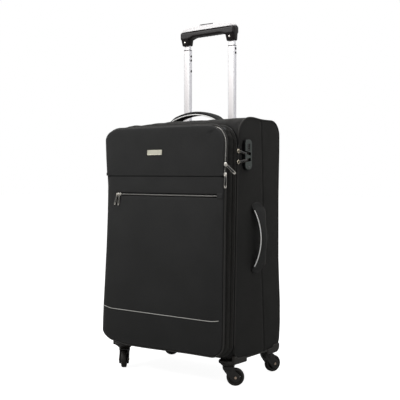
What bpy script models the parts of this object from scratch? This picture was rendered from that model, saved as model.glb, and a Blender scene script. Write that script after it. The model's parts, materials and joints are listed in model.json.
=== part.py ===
"""Softside upright suitcase with a telescopic trolley and four swivel casters.

Metres, +Z up, +X to the right of the front, the lid faces -Y. The origin is the
centre of the overall footprint at floor level.
"""
from collections import namedtuple
from contextlib import contextmanager
from math import atan2, cos, pi, radians, sin, tan
from types import SimpleNamespace

import bmesh
import bpy
from mathutils import Matrix, Vector

# ------------------------------------------------------------------ driving dimensions
# Pieces are drawn with X = 0 on the centre plane. SHIFT then centres the footprint.
SHIFT = Vector((-0.0136, 0.01781, 0.0))
GAP = 0.0003                  # clearance between touching pieces

WIDTH = 0.424                 # across the side panels
HALF = WIDTH / 2
Z_TOP, Z_BOTTOM = 0.700, 0.070    # top and underside of the fabric body
Y_BACK = 0.104                # rear plane

ZIP_Y, ZIP_Z = -0.105, 0.40   # a point on the opening plane
LEAN = 0.030                  # the opening plane leans back by this much per unit of height

TUBE_X, TUBE_Y = 0.0793, 0.066    # centre of the trolley tubes
SIDES = {"right": 1, "left": -1}

CASTERS = {                   # swivel axis x, y and resting direction of the trail in degrees
    "front_right": (0.184, -0.098, 37.3),
    "front_left": (-0.184, -0.098, -52.7),
    "rear_right": (0.184, 0.0885, 67.3),
    "rear_left": (-0.184, 0.0885, 40.0),
}
NECK_Z = 0.0530               # lower rim of the caster neck


def y_zip(z):
    """Y of the leaning opening plane at height z."""
    return ZIP_Y + LEAN * (z - ZIP_Z)


# ------------------------------------------------------------------ looks
Look = namedtuple("Look", "colour roughness metallic", defaults=[0.0])

BLACK_CLOTH = (0.022, 0.022, 0.021)
BLACK_PLASTIC = (0.020, 0.021, 0.017)
ALUMINIUM = (0.80, 0.81, 0.82)
NICKEL = (0.52, 0.51, 0.48)

FABRIC = Look(BLACK_CLOTH, roughness=0.85)
HANDLE_FABRIC = Look(BLACK_CLOTH, roughness=0.8)
GUSSET_FABRIC = Look((0.017, 0.017, 0.017), roughness=0.85)
BOARD = Look((0.30, 0.28, 0.24), roughness=0.7)
PLASTIC = Look(BLACK_PLASTIC, roughness=0.5)
GRIP_PLASTIC = Look(BLACK_PLASTIC, roughness=0.45)
COVER_PLASTIC = Look((0.72, 0.72, 0.72), roughness=0.35, metallic=0.3)
GRIP_BUTTON = Look((0.04, 0.04, 0.04), roughness=0.4)
LOCK_BODY = Look((0.012, 0.012, 0.011), roughness=0.22)
LOCK_DIAL = Look((0.03, 0.03, 0.03), roughness=0.35)
LOCK_BUTTON = Look((0.05, 0.05, 0.05), roughness=0.3)
DARK_CHAIN = Look((0.03, 0.03, 0.03), roughness=0.4)
NICKEL_CHAIN = Look(NICKEL, roughness=0.35, metallic=1.0)
NICKEL_PULL = Look(NICKEL, roughness=0.28, metallic=1.0)
FRAME_METAL = Look((0.30, 0.30, 0.31), roughness=0.4, metallic=1.0)
OUTER_TUBE = Look(ALUMINIUM, roughness=0.35, metallic=1.0)
DRAWN_TUBE = Look(ALUMINIUM, roughness=0.22, metallic=1.0)
BADGE_METAL = Look((0.50, 0.47, 0.36), roughness=0.3, metallic=1.0)
WHEEL_RUBBER = Look((0.028, 0.026, 0.023), roughness=0.6)
AXLE_METAL = Look((0.33, 0.24, 0.17), roughness=0.35, metallic=1.0)

# ------------------------------------------------------------------ scene set-up
for old in list(bpy.data.objects):
    bpy.data.objects.remove(old, do_unlink=True)


def collection(name):
    group = bpy.data.collections.new(name)
    bpy.context.scene.collection.children.link(group)
    return group


PARTS = collection("softside_suitcase")
TOOLS = collection("cutters")


def move_to(obj, target):
    """Files the object in the target collection only."""
    for group in list(obj.users_collection):
        group.objects.unlink(obj)
    target.objects.link(obj)


def material(name, look):
    mat = bpy.data.materials.new(name)
    mat.use_nodes = True
    shader = mat.node_tree.nodes["Principled BSDF"]
    shader.inputs["Base Color"].default_value = (*look.colour, 1.0)
    shader.inputs["Roughness"].default_value = look.roughness
    shader.inputs["Metallic"].default_value = look.metallic
    mat.diffuse_color = (*look.colour, 1.0)
    return mat


def finish(obj, look, smooth=None):
    """Names the material after the piece and files the object with the parts.

    smooth is the angle in degrees above which edges stay sharp; None shades flat.
    """
    obj.data.materials.clear()
    obj.data.materials.append(material(obj.name + "_finish", look))
    move_to(obj, PARTS)
    if smooth:
        obj.data.shade_smooth()
        obj.data.set_sharp_from_angle(angle=radians(smooth))
    return obj


# ------------------------------------------------------------------ flat outlines
def rectangle(x0, y0, x1, y1):
    return [(x0, y0), (x1, y0), (x1, y1), (x0, y1)]


def fillet(points, radii, steps=5):
    """Closed outline with its corners rounded to the given radii."""
    outline = []
    for i, point in enumerate(points):
        corner, radius = Vector(point), radii[i]
        if radius < 1e-6:
            outline.append(tuple(corner))
            continue
        to_last = (Vector(points[i - 1]) - corner).normalized()
        to_next = (Vector(points[(i + 1) % len(points)]) - corner).normalized()
        half = to_last.angle(to_next) / 2
        centre = corner + (to_last + to_next).normalized() * (radius / sin(half))
        start = corner + to_last * (radius / tan(half))
        end = corner + to_next * (radius / tan(half))
        first = atan2(start.y - centre.y, start.x - centre.x)
        sweep = (atan2(end.y - centre.y, end.x - centre.x) - first + pi) % (2 * pi) - pi
        for k in range(steps + 1):
            angle = first + sweep * k / steps
            outline.append((centre.x + radius * cos(angle), centre.y + radius * sin(angle)))
    return outline


def rounded_rect(x, y, width, height, radius, steps=4):
    corners = rectangle(x - width / 2, y - height / 2, x + width / 2, y + height / 2)
    return fillet(corners, [radius] * 4, steps)


# ------------------------------------------------------------------ solids
@contextmanager
def mesh_edit(mesh):
    """Opens a mesh as a BMesh and writes it back."""
    edit = bmesh.new()
    edit.from_mesh(mesh)
    yield edit
    edit.to_mesh(mesh)
    edit.free()


def new_object(name, data):
    obj = bpy.data.objects.new(name, data)
    TOOLS.objects.link(obj)
    return obj


def to_mesh(obj):
    """Replaces an object by the mesh its modifiers and curves evaluate to."""
    deps = bpy.context.evaluated_depsgraph_get()
    deps.update()
    mesh = bpy.data.meshes.new_from_object(obj.evaluated_get(deps))
    with mesh_edit(mesh) as edit:
        bmesh.ops.remove_doubles(edit, verts=edit.verts, dist=1e-6)
        bmesh.ops.recalc_face_normals(edit, faces=edit.faces)
    name = obj.name
    bpy.data.objects.remove(obj, do_unlink=True)
    return new_object(name, mesh)


def add_poly(curve, points, cyclic):
    spline = curve.splines.new("POLY")
    spline.points.add(len(points) - 1)
    for target, point in zip(spline.points, points):
        target.co = (*point, 1)
    spline.use_cyclic_u = cyclic


AXES = {                      # outlines are (y, z) for X, (x, z) for Y and (x, y) for Z
    "X": Matrix(((0, 0, 1, 0), (1, 0, 0, 0), (0, 1, 0, 0), (0, 0, 0, 1))),
    "Y": Matrix(((1, 0, 0, 0), (0, 0, -1, 0), (0, 1, 0, 0), (0, 0, 0, 1))),
    "Z": Matrix.Identity(4),
}


def extrude(name, loops, axis, low, high):
    """A flat outline (with inner loops as holes) extruded between two planes."""
    curve = bpy.data.curves.new(name, "CURVE")
    curve.dimensions = "2D"
    curve.fill_mode = "BOTH"
    curve.extrude = (high - low) / 2
    for loop in loops:
        add_poly(curve, [(u, v, 0) for u, v in loop], cyclic=True)
    obj = to_mesh(new_object(name, curve))
    with mesh_edit(obj.data) as edit:
        bmesh.ops.dissolve_limit(edit, angle_limit=0.002, verts=edit.verts, edges=edit.edges)
    middle = Vector()
    middle["XYZ".index(axis)] = (low + high) / 2
    obj.data.transform(Matrix.Translation(middle) @ AXES[axis])
    return obj


def box(name, low, high):
    bpy.ops.mesh.primitive_cube_add(size=1)
    obj = bpy.context.object
    obj.name = name
    low, high = Vector(low), Vector(high)
    obj.data.transform(Matrix.Translation((low + high) / 2) @ Matrix.Diagonal((*(high - low), 1)))
    move_to(obj, TOOLS)
    return obj


def cylinder(name, r_low, r_high, z_low, z_high, centre=(0, 0), sides=24, turn=0.0):
    bpy.ops.mesh.primitive_cone_add(
        vertices=sides, radius1=r_low, radius2=r_high, depth=z_high - z_low)
    obj = bpy.context.object
    obj.name = name
    place = Matrix.Translation((*centre, (z_low + z_high) / 2))
    obj.data.transform(place @ Matrix.Rotation(turn, 4, "Z"))
    move_to(obj, TOOLS)
    return obj


def wire(name, points, radius, cyclic=False, resolution=1):
    """A round wire along a polyline."""
    curve = bpy.data.curves.new(name, "CURVE")
    curve.dimensions = "3D"
    curve.bevel_depth = radius
    curve.bevel_resolution = resolution
    curve.use_fill_caps = True
    add_poly(curve, points, cyclic)
    return to_mesh(new_object(name, curve))


def boolean(obj, tools, kind, keep=False):
    """Cuts or joins with each tool in turn, then drops the tools unless told to keep them."""
    for tool in tools:
        mod = obj.modifiers.new(kind.lower(), "BOOLEAN")
        mod.object = tool
        mod.operation = kind
        mod.solver = "EXACT"
        obj = to_mesh(obj)
        if not keep:
            bpy.data.objects.remove(tool, do_unlink=True)
    return obj


def cut(obj, *tools, keep=False):
    return boolean(obj, tools, "DIFFERENCE", keep)


def join(obj, *tools):
    return boolean(obj, tools, "UNION")


def rounded(obj, width, segments=2, angle=45):
    mod = obj.modifiers.new("rounded_edges", "BEVEL")
    mod.width = width
    mod.segments = segments
    mod.limit_method = "ANGLE"
    mod.angle_limit = radians(angle)
    mod.offset_type = "OFFSET"
    return obj


def lean(obj):
    """Shears a piece drawn relative to the opening plane onto the leaning plane."""
    for vertex in obj.data.vertices:
        vertex.co.y += y_zip(vertex.co.z)
    return obj


def mirror_x(obj):
    obj.data.transform(Matrix.Scale(-1, 4, (1, 0, 0)))
    obj.data.flip_normals()


def pivot(obj, point):
    """Puts the object's origin at the given point, such as its joint axis."""
    point = Vector(point)
    obj.data.transform(Matrix.Translation(-point))
    obj.location = point
    return obj


def frame_from(origin, outward, along):
    """Matrix whose Z is the outward normal and X the resting direction of a pull."""
    z = Vector(outward).normalized()
    y = z.cross(Vector(along).normalized()).normalized()
    x = y.cross(z)
    return Matrix.Translation(origin) @ Matrix((x, y, z)).transposed().to_4x4()


# ------------------------------------------------------------------ shell
BODY_R_TOP, BODY_R_BOTTOM = 0.037, 0.030    # side view corner radii
BODY_FRONT = 0.0025           # front edge of the body behind the opening plane
MOUTH_EDGE = 0.0145           # front edge of the wrap panel behind the opening plane
SKIN = 0.006                  # padded fabric wall
SIDE_T = 0.0085               # side panel thickness
WRAP_HALF = HALF - SIDE_T - GAP
OUTER_TUBE_SIZE = (0.0278, 0.0168)
FRAME_HALF, FRAME_LOW, FRAME_HIGH = 0.1975, 0.0925, 0.6760
FRAME_R = 0.03                # corner radius of the opening frame
FRAME_INSET = 0.0195          # frame behind the opening plane


def side_outline(grow=0.0):
    """Side view (y, z) of the fabric body: rounded rectangle with a leaning front edge."""
    corners = [
        (y_zip(Z_BOTTOM) + BODY_FRONT - grow, Z_BOTTOM - grow),
        (Y_BACK + grow, Z_BOTTOM - grow),
        (Y_BACK + grow, Z_TOP + grow),
        (y_zip(Z_TOP) + BODY_FRONT - grow, Z_TOP + grow),
    ]
    r_bottom, r_top = BODY_R_BOTTOM + grow, BODY_R_TOP + grow
    return fillet(corners, [r_bottom, r_bottom, r_top, r_top], 6)


def tube_outline(sign, size, grow=0.0, radius=0.0042, steps=3):
    """Plan of a trolley tube, or of a hole for it when grown."""
    return rounded_rect(sign * TUBE_X, TUBE_Y, size[0] + grow, size[1] + grow, radius, steps)


def tube_cutters(name, z_low, z_high, **outline):
    return [extrude(f"{name}_{side}", [tube_outline(sign, **outline)], "Z", z_low, z_high)
            for side, sign in SIDES.items()]


for side in SIDES:
    panel = extrude("side_panel_" + side, [side_outline()], "X", HALF - SIDE_T, HALF)
    if side == "left":
        mirror_x(panel)
    finish(rounded(panel, 0.0022), FABRIC)

# the wrap panel runs from the top lip over the back to the bottom lip
wrap = extrude("wrap_panel", [side_outline(), side_outline(-SKIN)], "X", -WRAP_HALF, WRAP_HALF)
mouth = [(-0.30, 0.02), (-0.30, 0.80), (y_zip(0.80) + MOUTH_EDGE, 0.80),
         (y_zip(0.02) + MOUTH_EDGE, 0.02)]
wrap = cut(wrap, extrude("mouth", [mouth], "X", -0.3, 0.3),
           *tube_cutters("slot", 0.60, 0.80, size=OUTER_TUBE_SIZE, grow=0.0010,
                         radius=0.004, steps=2))
finish(wrap, FABRIC)

# open-topped tray on the floor of the body
FLOOR = Z_BOTTOM + SKIN
tray = box("base_tray", (-0.194, -0.076, FLOOR + 0.0004), (0.194, 0.044, FLOOR + 0.016))
with mesh_edit(tray.data) as edit:
    top_faces = [face for face in edit.faces if face.normal.z > 0.5]
    bmesh.ops.delete(edit, geom=top_faces, context="FACES_ONLY")
wall = tray.modifiers.new("wall", "SOLIDIFY")
wall.thickness = 0.0022
wall.offset = -1.0
finish(tray, PLASTIC)

back_board = box("back_board", (-0.199, 0.0490, 0.0795), (0.199, 0.0515, 0.6905))
finish(rounded(back_board, 0.0008, 1), BOARD)

# wire frame just inside the opening
ring = fillet(rectangle(-FRAME_HALF, FRAME_LOW, FRAME_HALF, FRAME_HIGH), [FRAME_R] * 4)
ring = [(x, y_zip(z) + FRAME_INSET, z) for x, z in ring]
finish(wire("opening_frame", ring, 0.0022, cyclic=True), FRAME_METAL, smooth=60)

# ------------------------------------------------------------------ carry handles
STRAP_T = 0.008               # strap thickness
STRAP_FOOT = 0.016            # length of the flat foot at each end
TOP_HALF, TOP_RISE = 0.088, 0.031
SIDE_LOW, SIDE_HIGH, SIDE_RISE = 0.289, 0.4805, 0.0295


def arch_outline(start, end, rise, steps=10):
    """Strap that lies on a surface at start and end and bulges out by rise between.

    Points are (along the surface, out from it).
    """
    half_t = STRAP_T / 2
    middle = []
    for k in range(steps + 1):
        part = k / steps
        bulge = sin(pi * part) ** 0.62
        middle.append((start + STRAP_FOOT + (end - start - 2 * STRAP_FOOT) * part,
                       (rise - half_t) * bulge + half_t * (1 - bulge)))
    upper = [(u, v + half_t) for u, v in middle]
    lower = [(u, v - half_t) for u, v in reversed(middle[1:-1])]
    return [(start, STRAP_T * 0.35), *upper, (end, STRAP_T * 0.35),
            (end, 0.0), (end - STRAP_FOOT, 0.0), *lower, (start + STRAP_FOOT, 0.0), (start, 0.0)]


def carry_handle(name, outline, y_front, y_back):
    strap = extrude(name, [outline], "Y", y_front, y_back)
    finish(rounded(strap, 0.0022, angle=60), HANDLE_FABRIC)


carry_handle("top_carry_handle",
             [(u, v + Z_TOP + GAP) for u, v in arch_outline(-TOP_HALF, TOP_HALF, TOP_RISE)],
             -0.0165, 0.0205)
carry_handle("side_carry_handle",
             [(v + HALF + GAP, u) for u, v in arch_outline(SIDE_LOW, SIDE_HIGH, SIDE_RISE)],
             -0.0265, 0.0190)

# ------------------------------------------------------------------ sliders and pulls
BAR = 0.0016                  # height of a pull's hinge bar over its slider
SLIDER_L, SLIDER_W, SLIDER_T = 0.0078, 0.0072, 0.0030    # along the zip, across it, thick
BAIL_R = 0.0027               # radius of the wire bail that holds a pull
PULL_T = 0.0014
EYE_R, EYE_INSET = 0.0014, 0.0040    # small hole near the end of a pull


def slider(name, hinge, outward, along, zip_along, bail_along=None):
    """Zip slider with a wire bail; zip_along says if the zip runs along the pull."""
    half_x, half_y = SLIDER_L / 2, SLIDER_W / 2
    if not zip_along:
        half_x, half_y = half_y, half_x
    body = box(name, (-half_x, -half_y, -BAR - SLIDER_T), (half_x, half_y, -BAR))
    body = to_mesh(rounded(body, 0.0009, 1))
    foot_z = -BAR - 0.0010
    arc = [(-BAIL_R * cos(pi * k / 6), 0, BAIL_R * sin(pi * k / 6)) for k in range(7)]
    path = [(-BAIL_R, 0, foot_z), *arc, (BAIL_R, 0, foot_z)]
    bail = wire(name + "_bail", path, 0.0006, resolution=0)
    frame = frame_from(hinge, outward, along)
    bail.data.transform(frame.inverted() @ frame_from(hinge, outward, bail_along or along))
    body = join(body, bail)
    body.data.transform(frame)
    return finish(body, NICKEL_PULL)


def pull(name, hinge, outward, along, length=0.035, width=0.0068):
    """Flat pull: hinge bar at the origin, bail window, plate and a small eye at its end."""
    half = width / 2
    outline = fillet(
        [(-0.0007, -half * 0.8), (length, -half), (length, half), (-0.0007, half * 0.8)],
        [0.0006, half * 0.9, half * 0.9, 0.0006], 4)
    window = rectangle(0.0007, -0.0018, 0.0046, 0.0018)
    eye = [(length - EYE_INSET + EYE_R * cos(2 * pi * k / 8), EYE_R * sin(2 * pi * k / 8))
           for k in range(8)]
    plate = extrude(name, [outline, window, eye], "Z", -PULL_T / 2, PULL_T / 2)
    plate.data.transform(frame_from(hinge, outward, along))
    pivot(finish(plate, NICKEL_PULL), hinge)


# main zip: two sliders on the right, their pulls laid into the lock
MAIN_X = HALF + 0.0054
MAIN_LENGTH = 0.0450
MAIN_SLIDERS = {"upper": (0.6140, -9.0), "lower": (0.5860, 9.0)}    # z, tilt in degrees
OUT_RIGHT = (1, 0, 0)
main_frames = {}
for key, (z, tilt) in MAIN_SLIDERS.items():
    hinge = (MAIN_X, y_zip(z) + 0.0005, z)
    along = (0, cos(radians(tilt)), sin(radians(tilt)))
    main_frames[key] = frame_from(hinge, OUT_RIGHT, along)
    slider("main_slider_" + key, hinge, OUT_RIGHT, along, zip_along=False)
    pull("main_pull_" + key, hinge, OUT_RIGHT, along, MAIN_LENGTH)

# ------------------------------------------------------------------ combination lock
LOCK_Y, LOCK_Z = (-0.0780, -0.0470), (0.5660, 0.6450)
LOCK_X = (HALF + GAP, HALF + 0.0112)
BEYOND_X = HALF + 0.02        # cutters end clear of the lock face
DIAL_X, DIAL_Y = HALF + 0.0064, -0.0625
DIAL_R, DIAL_T = 0.0052, 0.0050
DIAL_TOP_Z, DIAL_PITCH, DIAL_COUNT = 0.6310, 0.0065, 3
DIAL_SLOT_Y, DIAL_SLOT_Z = 0.0058, 0.0030    # slot reach beyond the dial centres
BUTTON_X, BUTTON_Y, BUTTON_Z = HALF + 0.0120, -0.0620, 0.5733    # centre of the outer face
BUTTON_HALF_Y, BUTTON_HALF_Z = 0.0041, 0.0029
BUTTON_GAP = 0.0004           # clearance around the button in its well
GROOVE_HALF = 0.0041          # half width of the grooves for the pulls


def button_box(name, x_low, x_high, grow=0.0):
    half_y, half_z = BUTTON_HALF_Y + grow, BUTTON_HALF_Z + grow
    return box(name, (x_low, BUTTON_Y - half_y, BUTTON_Z - half_z),
               (x_high, BUTTON_Y + half_y, BUTTON_Z + half_z))


lock = extrude("lock_body", [fillet(
    rectangle(LOCK_Y[0], LOCK_Z[0], LOCK_Y[1], LOCK_Z[1]), [0.011] * 4)], "X", *LOCK_X)
lock = to_mesh(rounded(lock, 0.0022))
dial_z = [DIAL_TOP_Z - DIAL_PITCH * i for i in range(DIAL_COUNT)]
cutters = [box("dial_slot", (HALF + 0.0006, DIAL_Y - DIAL_SLOT_Y, dial_z[-1] - DIAL_SLOT_Z),
               (BEYOND_X, DIAL_Y + DIAL_SLOT_Y, dial_z[0] + DIAL_SLOT_Z))]
for key, frame in main_frames.items():
    groove = box("groove_" + key, (0.0150, -GROOVE_HALF, -0.0012),
                 (MAIN_LENGTH + 0.0008, GROOVE_HALF, 0.0150))
    groove.data.transform(frame)
    cutters.append(groove)
cutters.append(button_box("button_well", HALF + 0.0040, BEYOND_X, BUTTON_GAP))
finish(cut(lock, *cutters), LOCK_BODY)

for number, z in enumerate(dial_z, 1):
    dial = cylinder(f"lock_dial_{number}", DIAL_R, DIAL_R, z - DIAL_T / 2, z + DIAL_T / 2,
                    (DIAL_X, DIAL_Y), sides=10, turn=radians(18))
    finish(pivot(dial, (DIAL_X, DIAL_Y, z)), LOCK_DIAL)

button = rounded(button_box("lock_release_button", HALF + 0.0072, BUTTON_X), 0.0006, 1)
finish(pivot(button, (BUTTON_X, BUTTON_Y, BUTTON_Z)), LOCK_BUTTON)

# ------------------------------------------------------------------ lid
# Y values in this section are measured from the opening plane, negative to the front.
LID_HALF = 0.2105             # half width of the lid
LID_TOP, LID_BOTTOM = 0.682, 0.0785
LID_R_TOP, LID_R_BOTTOM = 0.045, 0.036
SEAM_Z = 0.5496               # lower edge of the upper pocket flap
SLIT_Z = 0.4985               # horizontal pocket zip
SLIT_X = (-0.1640, 0.1920)
SLIT_HALF = 0.0046            # half height of the slit
SLIT_CHAIN_INSET = 0.0012     # the slit chain stops short of the slit ends
SLIT_CHAIN_Y, UPPER_CHAIN_Y = -0.0461, -0.0462
FLAP_FRONT, FLAP_BACK = -0.0530, -0.0474
FLAP_PIVOT = Vector((0, y_zip(SEAM_Z) + FLAP_FRONT, SEAM_Z))
BADGE_X, BADGE_Z, BADGE_W, BADGE_H = -0.0225, 0.6126, 0.052, 0.014


def lid_outline(inset=0.0, low=None, high=None):
    """Front view (x, z) of the lid; an end cut off at low or high has square corners."""
    half = LID_HALF - inset
    r_bottom = LID_R_BOTTOM - inset if low is None else 0.0
    r_top = LID_R_TOP - inset if high is None else 0.0
    low = LID_BOTTOM + inset if low is None else low
    high = LID_TOP - inset if high is None else high
    return fillet(rectangle(-half, low, half, high), [r_bottom, r_bottom, r_top, r_top], 6)


# the chain starts low on the left side, runs along the bottom, up the right and over the top
loop = lid_outline(0.0020)
left_x = -(LID_HALF - 0.0020)
path = [(left_x, 0.150), *loop, (left_x, 0.600)]
chain = wire("main_zip_chain", [(x, y_zip(z), z) for x, z in path], 0.0015)
finish(chain, DARK_CHAIN, smooth=60)

gusset = extrude("lid_gusset", [lid_outline(), lid_outline(0.004)], "Y", -0.0440, -0.0025)
finish(lean(gusset), GUSSET_FABRIC)

lid_board = extrude("lid_board", [lid_outline(0.0045)], "Y", -0.0370, -0.0345)
finish(lean(lid_board), BOARD)

panel = extrude("lower_pocket_panel", [
    lid_outline(high=SEAM_Z - 0.0008),
    rectangle(SLIT_X[0], SLIT_Z - SLIT_HALF, SLIT_X[1], SLIT_Z + SLIT_HALF),
], "Y", -0.0495, -0.0443)
finish(rounded(lean(panel), 0.0016, angle=60), FABRIC)

path = [(x, SLIT_CHAIN_Y + y_zip(SLIT_Z), SLIT_Z)
        for x in (SLIT_X[0] + SLIT_CHAIN_INSET, SLIT_X[1] - SLIT_CHAIN_INSET)]
finish(wire("front_zip_chain", path, 0.0014), NICKEL_CHAIN, smooth=60)

# open path: up the right side, over the top, down the left side
loop = lid_outline(0.0014, low=SEAM_Z + 0.0015)
path = [(x, UPPER_CHAIN_Y + y_zip(z), z) for x, z in loop[1:] + loop[:1]]
finish(wire("upper_zip_chain", path, 0.0012), NICKEL_CHAIN, smooth=60)

# upper pocket flap, hinged along its lower seam
flap = extrude("upper_pocket_flap", [lid_outline(0.0030, low=SEAM_Z)], "Y", FLAP_FRONT, FLAP_BACK)
finish(pivot(rounded(lean(flap), 0.0018, angle=60), FLAP_PIVOT), FABRIC)

badge = extrude("badge_plate", [rounded_rect(BADGE_X, BADGE_Z, BADGE_W, BADGE_H, 0.0015, 3)],
                "Y", FLAP_FRONT - 0.0018, FLAP_FRONT - GAP)
finish(pivot(rounded(lean(badge), 0.0004, 1, 60), FLAP_PIVOT), BADGE_METAL)

# ------------------------------------------------------------------ pocket sliders
DOWN = (0, -LEAN, -1)
EDGE_X, EDGE_Y = 0.2140, -0.0540    # hinge bar of the edge sliders; y from the opening plane
EDGE_OUT = (1, -1, LEAN)      # they face diagonally off the corner
FRONT_OUT = (0, -1, LEAN)
EDGE_SLIDERS = {              # z and resting direction of the pull
    "upper": (0.5800, (0.5, 0.5, -0.707)),
    "lower": (0.5540, DOWN),
}
SLIT_SLIDERS = {"left": -0.1585, "right": -0.1500}    # x

# two on the right edge of the flap
for key, (z, along) in EDGE_SLIDERS.items():
    hinge = (EDGE_X, y_zip(z) + EDGE_Y, z)
    pivot(slider("pocket_slider_" + key, hinge, EDGE_OUT, DOWN, True, along), hinge)
    pull("pocket_pull_" + key, hinge, EDGE_OUT, along)

# two at the left end of the slit
for key, x in SLIT_SLIDERS.items():
    hinge = (x, y_zip(SLIT_Z) - 0.0510 - BAR, SLIT_Z)
    pivot(slider("slit_slider_" + key, hinge, FRONT_OUT, DOWN, zip_along=False), hinge)
    pull("slit_pull_" + key, hinge, FRONT_OUT, DOWN, length=0.032, width=0.0056)

# ------------------------------------------------------------------ trolley
MID_TUBE_SIZE, INNER_TUBE_SIZE = (0.0240, 0.0130), (0.0206, 0.0096)
TUBE_R = 0.0042               # outer corner radius of every tube
MID_TOP = 0.915               # end of the first drawn stage
GRIP_BOTTOM, GRIP_TOP, COVER_TOP = 0.930, 0.969, 0.985
GRIP_Y = TUBE_Y - 0.0035      # the grip sits a little forward of its tubes
GRIP_HALF_Y = 0.0150
COVER_HALF_Y = GRIP_HALF_Y - 0.0004
LEG = 0.0145                  # half width of a grip leg
GRIP_HALF = TUBE_X + LEG
BAR_BOTTOM = 0.9500           # underside of the grip bar
PRESS_HALF, PRESS_Y, PRESS_TOP = 0.0235, (0.0495, 0.0585), 0.9842    # grip button
PRESS_GAP = 0.0005

TUBES = {                     # size, wall, bottom z, top z, origin z (None leaves it), look
    "outer": (OUTER_TUBE_SIZE, 0.0014, 0.0902, 0.6995, None, OUTER_TUBE),
    "mid": (MID_TUBE_SIZE, 0.0012, 0.5450, MID_TOP, MID_TOP, DRAWN_TUBE),
    "inner": (INNER_TUBE_SIZE, 0.0012, 0.6800, 0.9590, GRIP_BOTTOM, DRAWN_TUBE),
}
for side, sign in SIDES.items():
    for stage, (size, wall_t, z_low, z_high, origin_z, look) in TUBES.items():
        loops = [tube_outline(sign, size), tube_outline(sign, size, -2 * wall_t, TUBE_R - wall_t)]
        tube = extrude(f"{stage}_tube_{side}", loops, "Z", z_low, z_high)
        if origin_z is not None:
            pivot(tube, (sign * TUBE_X, TUBE_Y, origin_z))
        finish(tube, look, smooth=40)

# slightly grown body that bezel and corner guards are cut to fit
body_tool = extrude("body_tool", [side_outline(GAP)], "X", -HALF - GAP, HALF + GAP)

bezel = box("trolley_bezel", (-0.1080, 0.0450, 0.6870), (0.1080, 0.0890, 0.7065))
bezel = cut(
    to_mesh(rounded(bezel, 0.0030)),
    *tube_cutters("bezel_hole", 0.60, 0.80, size=MID_TUBE_SIZE, grow=0.0010),
    *tube_cutters("tube_seat", 0.60, 0.7000, size=OUTER_TUBE_SIZE, grow=0.0008, radius=0.0045))
finish(cut(bezel, body_tool, keep=True), GRIP_PLASTIC)

bracket = box("trolley_foot_bracket", (-0.1000, 0.0535, 0.0812), (0.1000, 0.0790, 0.0898))
finish(rounded(bracket, 0.0015, 1), PLASTIC)

# grip: legs and bar in one moulding, a light domed cover above
outline = fillet([
    (-GRIP_HALF, GRIP_BOTTOM), (-TUBE_X + LEG - 0.001, GRIP_BOTTOM),
    (-TUBE_X + LEG + 0.004, BAR_BOTTOM), (TUBE_X - LEG - 0.004, BAR_BOTTOM),
    (TUBE_X - LEG + 0.001, GRIP_BOTTOM), (GRIP_HALF, GRIP_BOTTOM),
    (GRIP_HALF, GRIP_TOP), (-GRIP_HALF, GRIP_TOP),
], [0.002, 0.002, 0.010, 0.010, 0.002, 0.002, 0.006, 0.006], 4)
grip = extrude("grip_body", [outline], "Y", GRIP_Y - GRIP_HALF_Y, GRIP_Y + GRIP_HALF_Y)
grip = cut(
    to_mesh(rounded(grip, 0.0035, angle=55)),
    *tube_cutters("leg_bore", 0.90, 0.9600, size=INNER_TUBE_SIZE, grow=0.0006, radius=0.0044))
finish(pivot(grip, (0, TUBE_Y, GRIP_BOTTOM)), GRIP_PLASTIC)

cover_base, spring_z = GRIP_TOP + GAP, GRIP_TOP + 0.004
dome_rise = COVER_TOP - GRIP_TOP - GAP - 0.0037
dome = [(GRIP_Y + COVER_HALF_Y, cover_base), (GRIP_Y + COVER_HALF_Y, spring_z)]
dome += [(GRIP_Y + COVER_HALF_Y * cos(radians(a)), spring_z + dome_rise * sin(radians(a)))
         for a in range(20, 170, 20)]
dome += [(GRIP_Y - COVER_HALF_Y, spring_z), (GRIP_Y - COVER_HALF_Y, cover_base)]
cover = extrude("grip_cover", [dome], "X", -GRIP_HALF + 0.001, GRIP_HALF - 0.001)
cover = cut(
    to_mesh(rounded(cover, 0.0045, 3, 60)),
    box("button_pocket", (-PRESS_HALF - PRESS_GAP, PRESS_Y[0] - PRESS_GAP, 0.9745),
        (PRESS_HALF + PRESS_GAP, PRESS_Y[1] + PRESS_GAP, 1.0)))
finish(pivot(cover, (0, TUBE_Y, GRIP_BOTTOM)), COVER_PLASTIC)

press = box("grip_button", (-PRESS_HALF, PRESS_Y[0], 0.9790), (PRESS_HALF, PRESS_Y[1], PRESS_TOP))
finish(pivot(rounded(press, 0.0016), (0, sum(PRESS_Y) / 2, PRESS_TOP)), GRIP_BUTTON)

# ------------------------------------------------------------------ corner guards
GUARD_X = HALF + 0.0026       # outer face
# plan_radii start at the inner front corner and run by the outer front one;
# edge_r rounds the outer bottom edge and outward is the way its end faces along Y
FRONT_GUARD = SimpleNamespace(
    y=(-0.1220, -0.0560), x_inner=HALF - 0.052, z=(0.0600, 0.0696),
    plan_radii=[0.018, 0.026, 0.004, 0.010], edge_r=0.0080, outward=-1, end_y=-0.1220)
REAR_GUARD = SimpleNamespace(
    y=(0.0450, Y_BACK + 0.0030), x_inner=HALF - 0.060, z=(0.0590, 0.0840),
    plan_radii=[0.010, 0.004, 0.004, 0.010], edge_r=0.0210, outward=1, end_y=Y_BACK + 0.0030)
LIP_Y = y_zip(0.07)
FRONT_LIP = fillet([          # side view (y, z) of the lip up the side of a front guard
    (LIP_Y + 0.0008, 0.0610), (-0.0560, 0.0610), (-0.0560, 0.0715), (-0.0660, 0.0755),
    (LIP_Y + 0.018, 0.0775), (LIP_Y + 0.0008, 0.0840),
], [0, 0.002, 0.002, 0.004, 0.01, 0.001], 3)
REAR_DROP = [                 # (y, z) cut that lowers the top edge ahead of the rear corner
    (0.03, 0.0740), (0.0680, 0.0760), (0.0760, 0.0845), (0.0760, 0.10), (0.03, 0.10),
]


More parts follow.
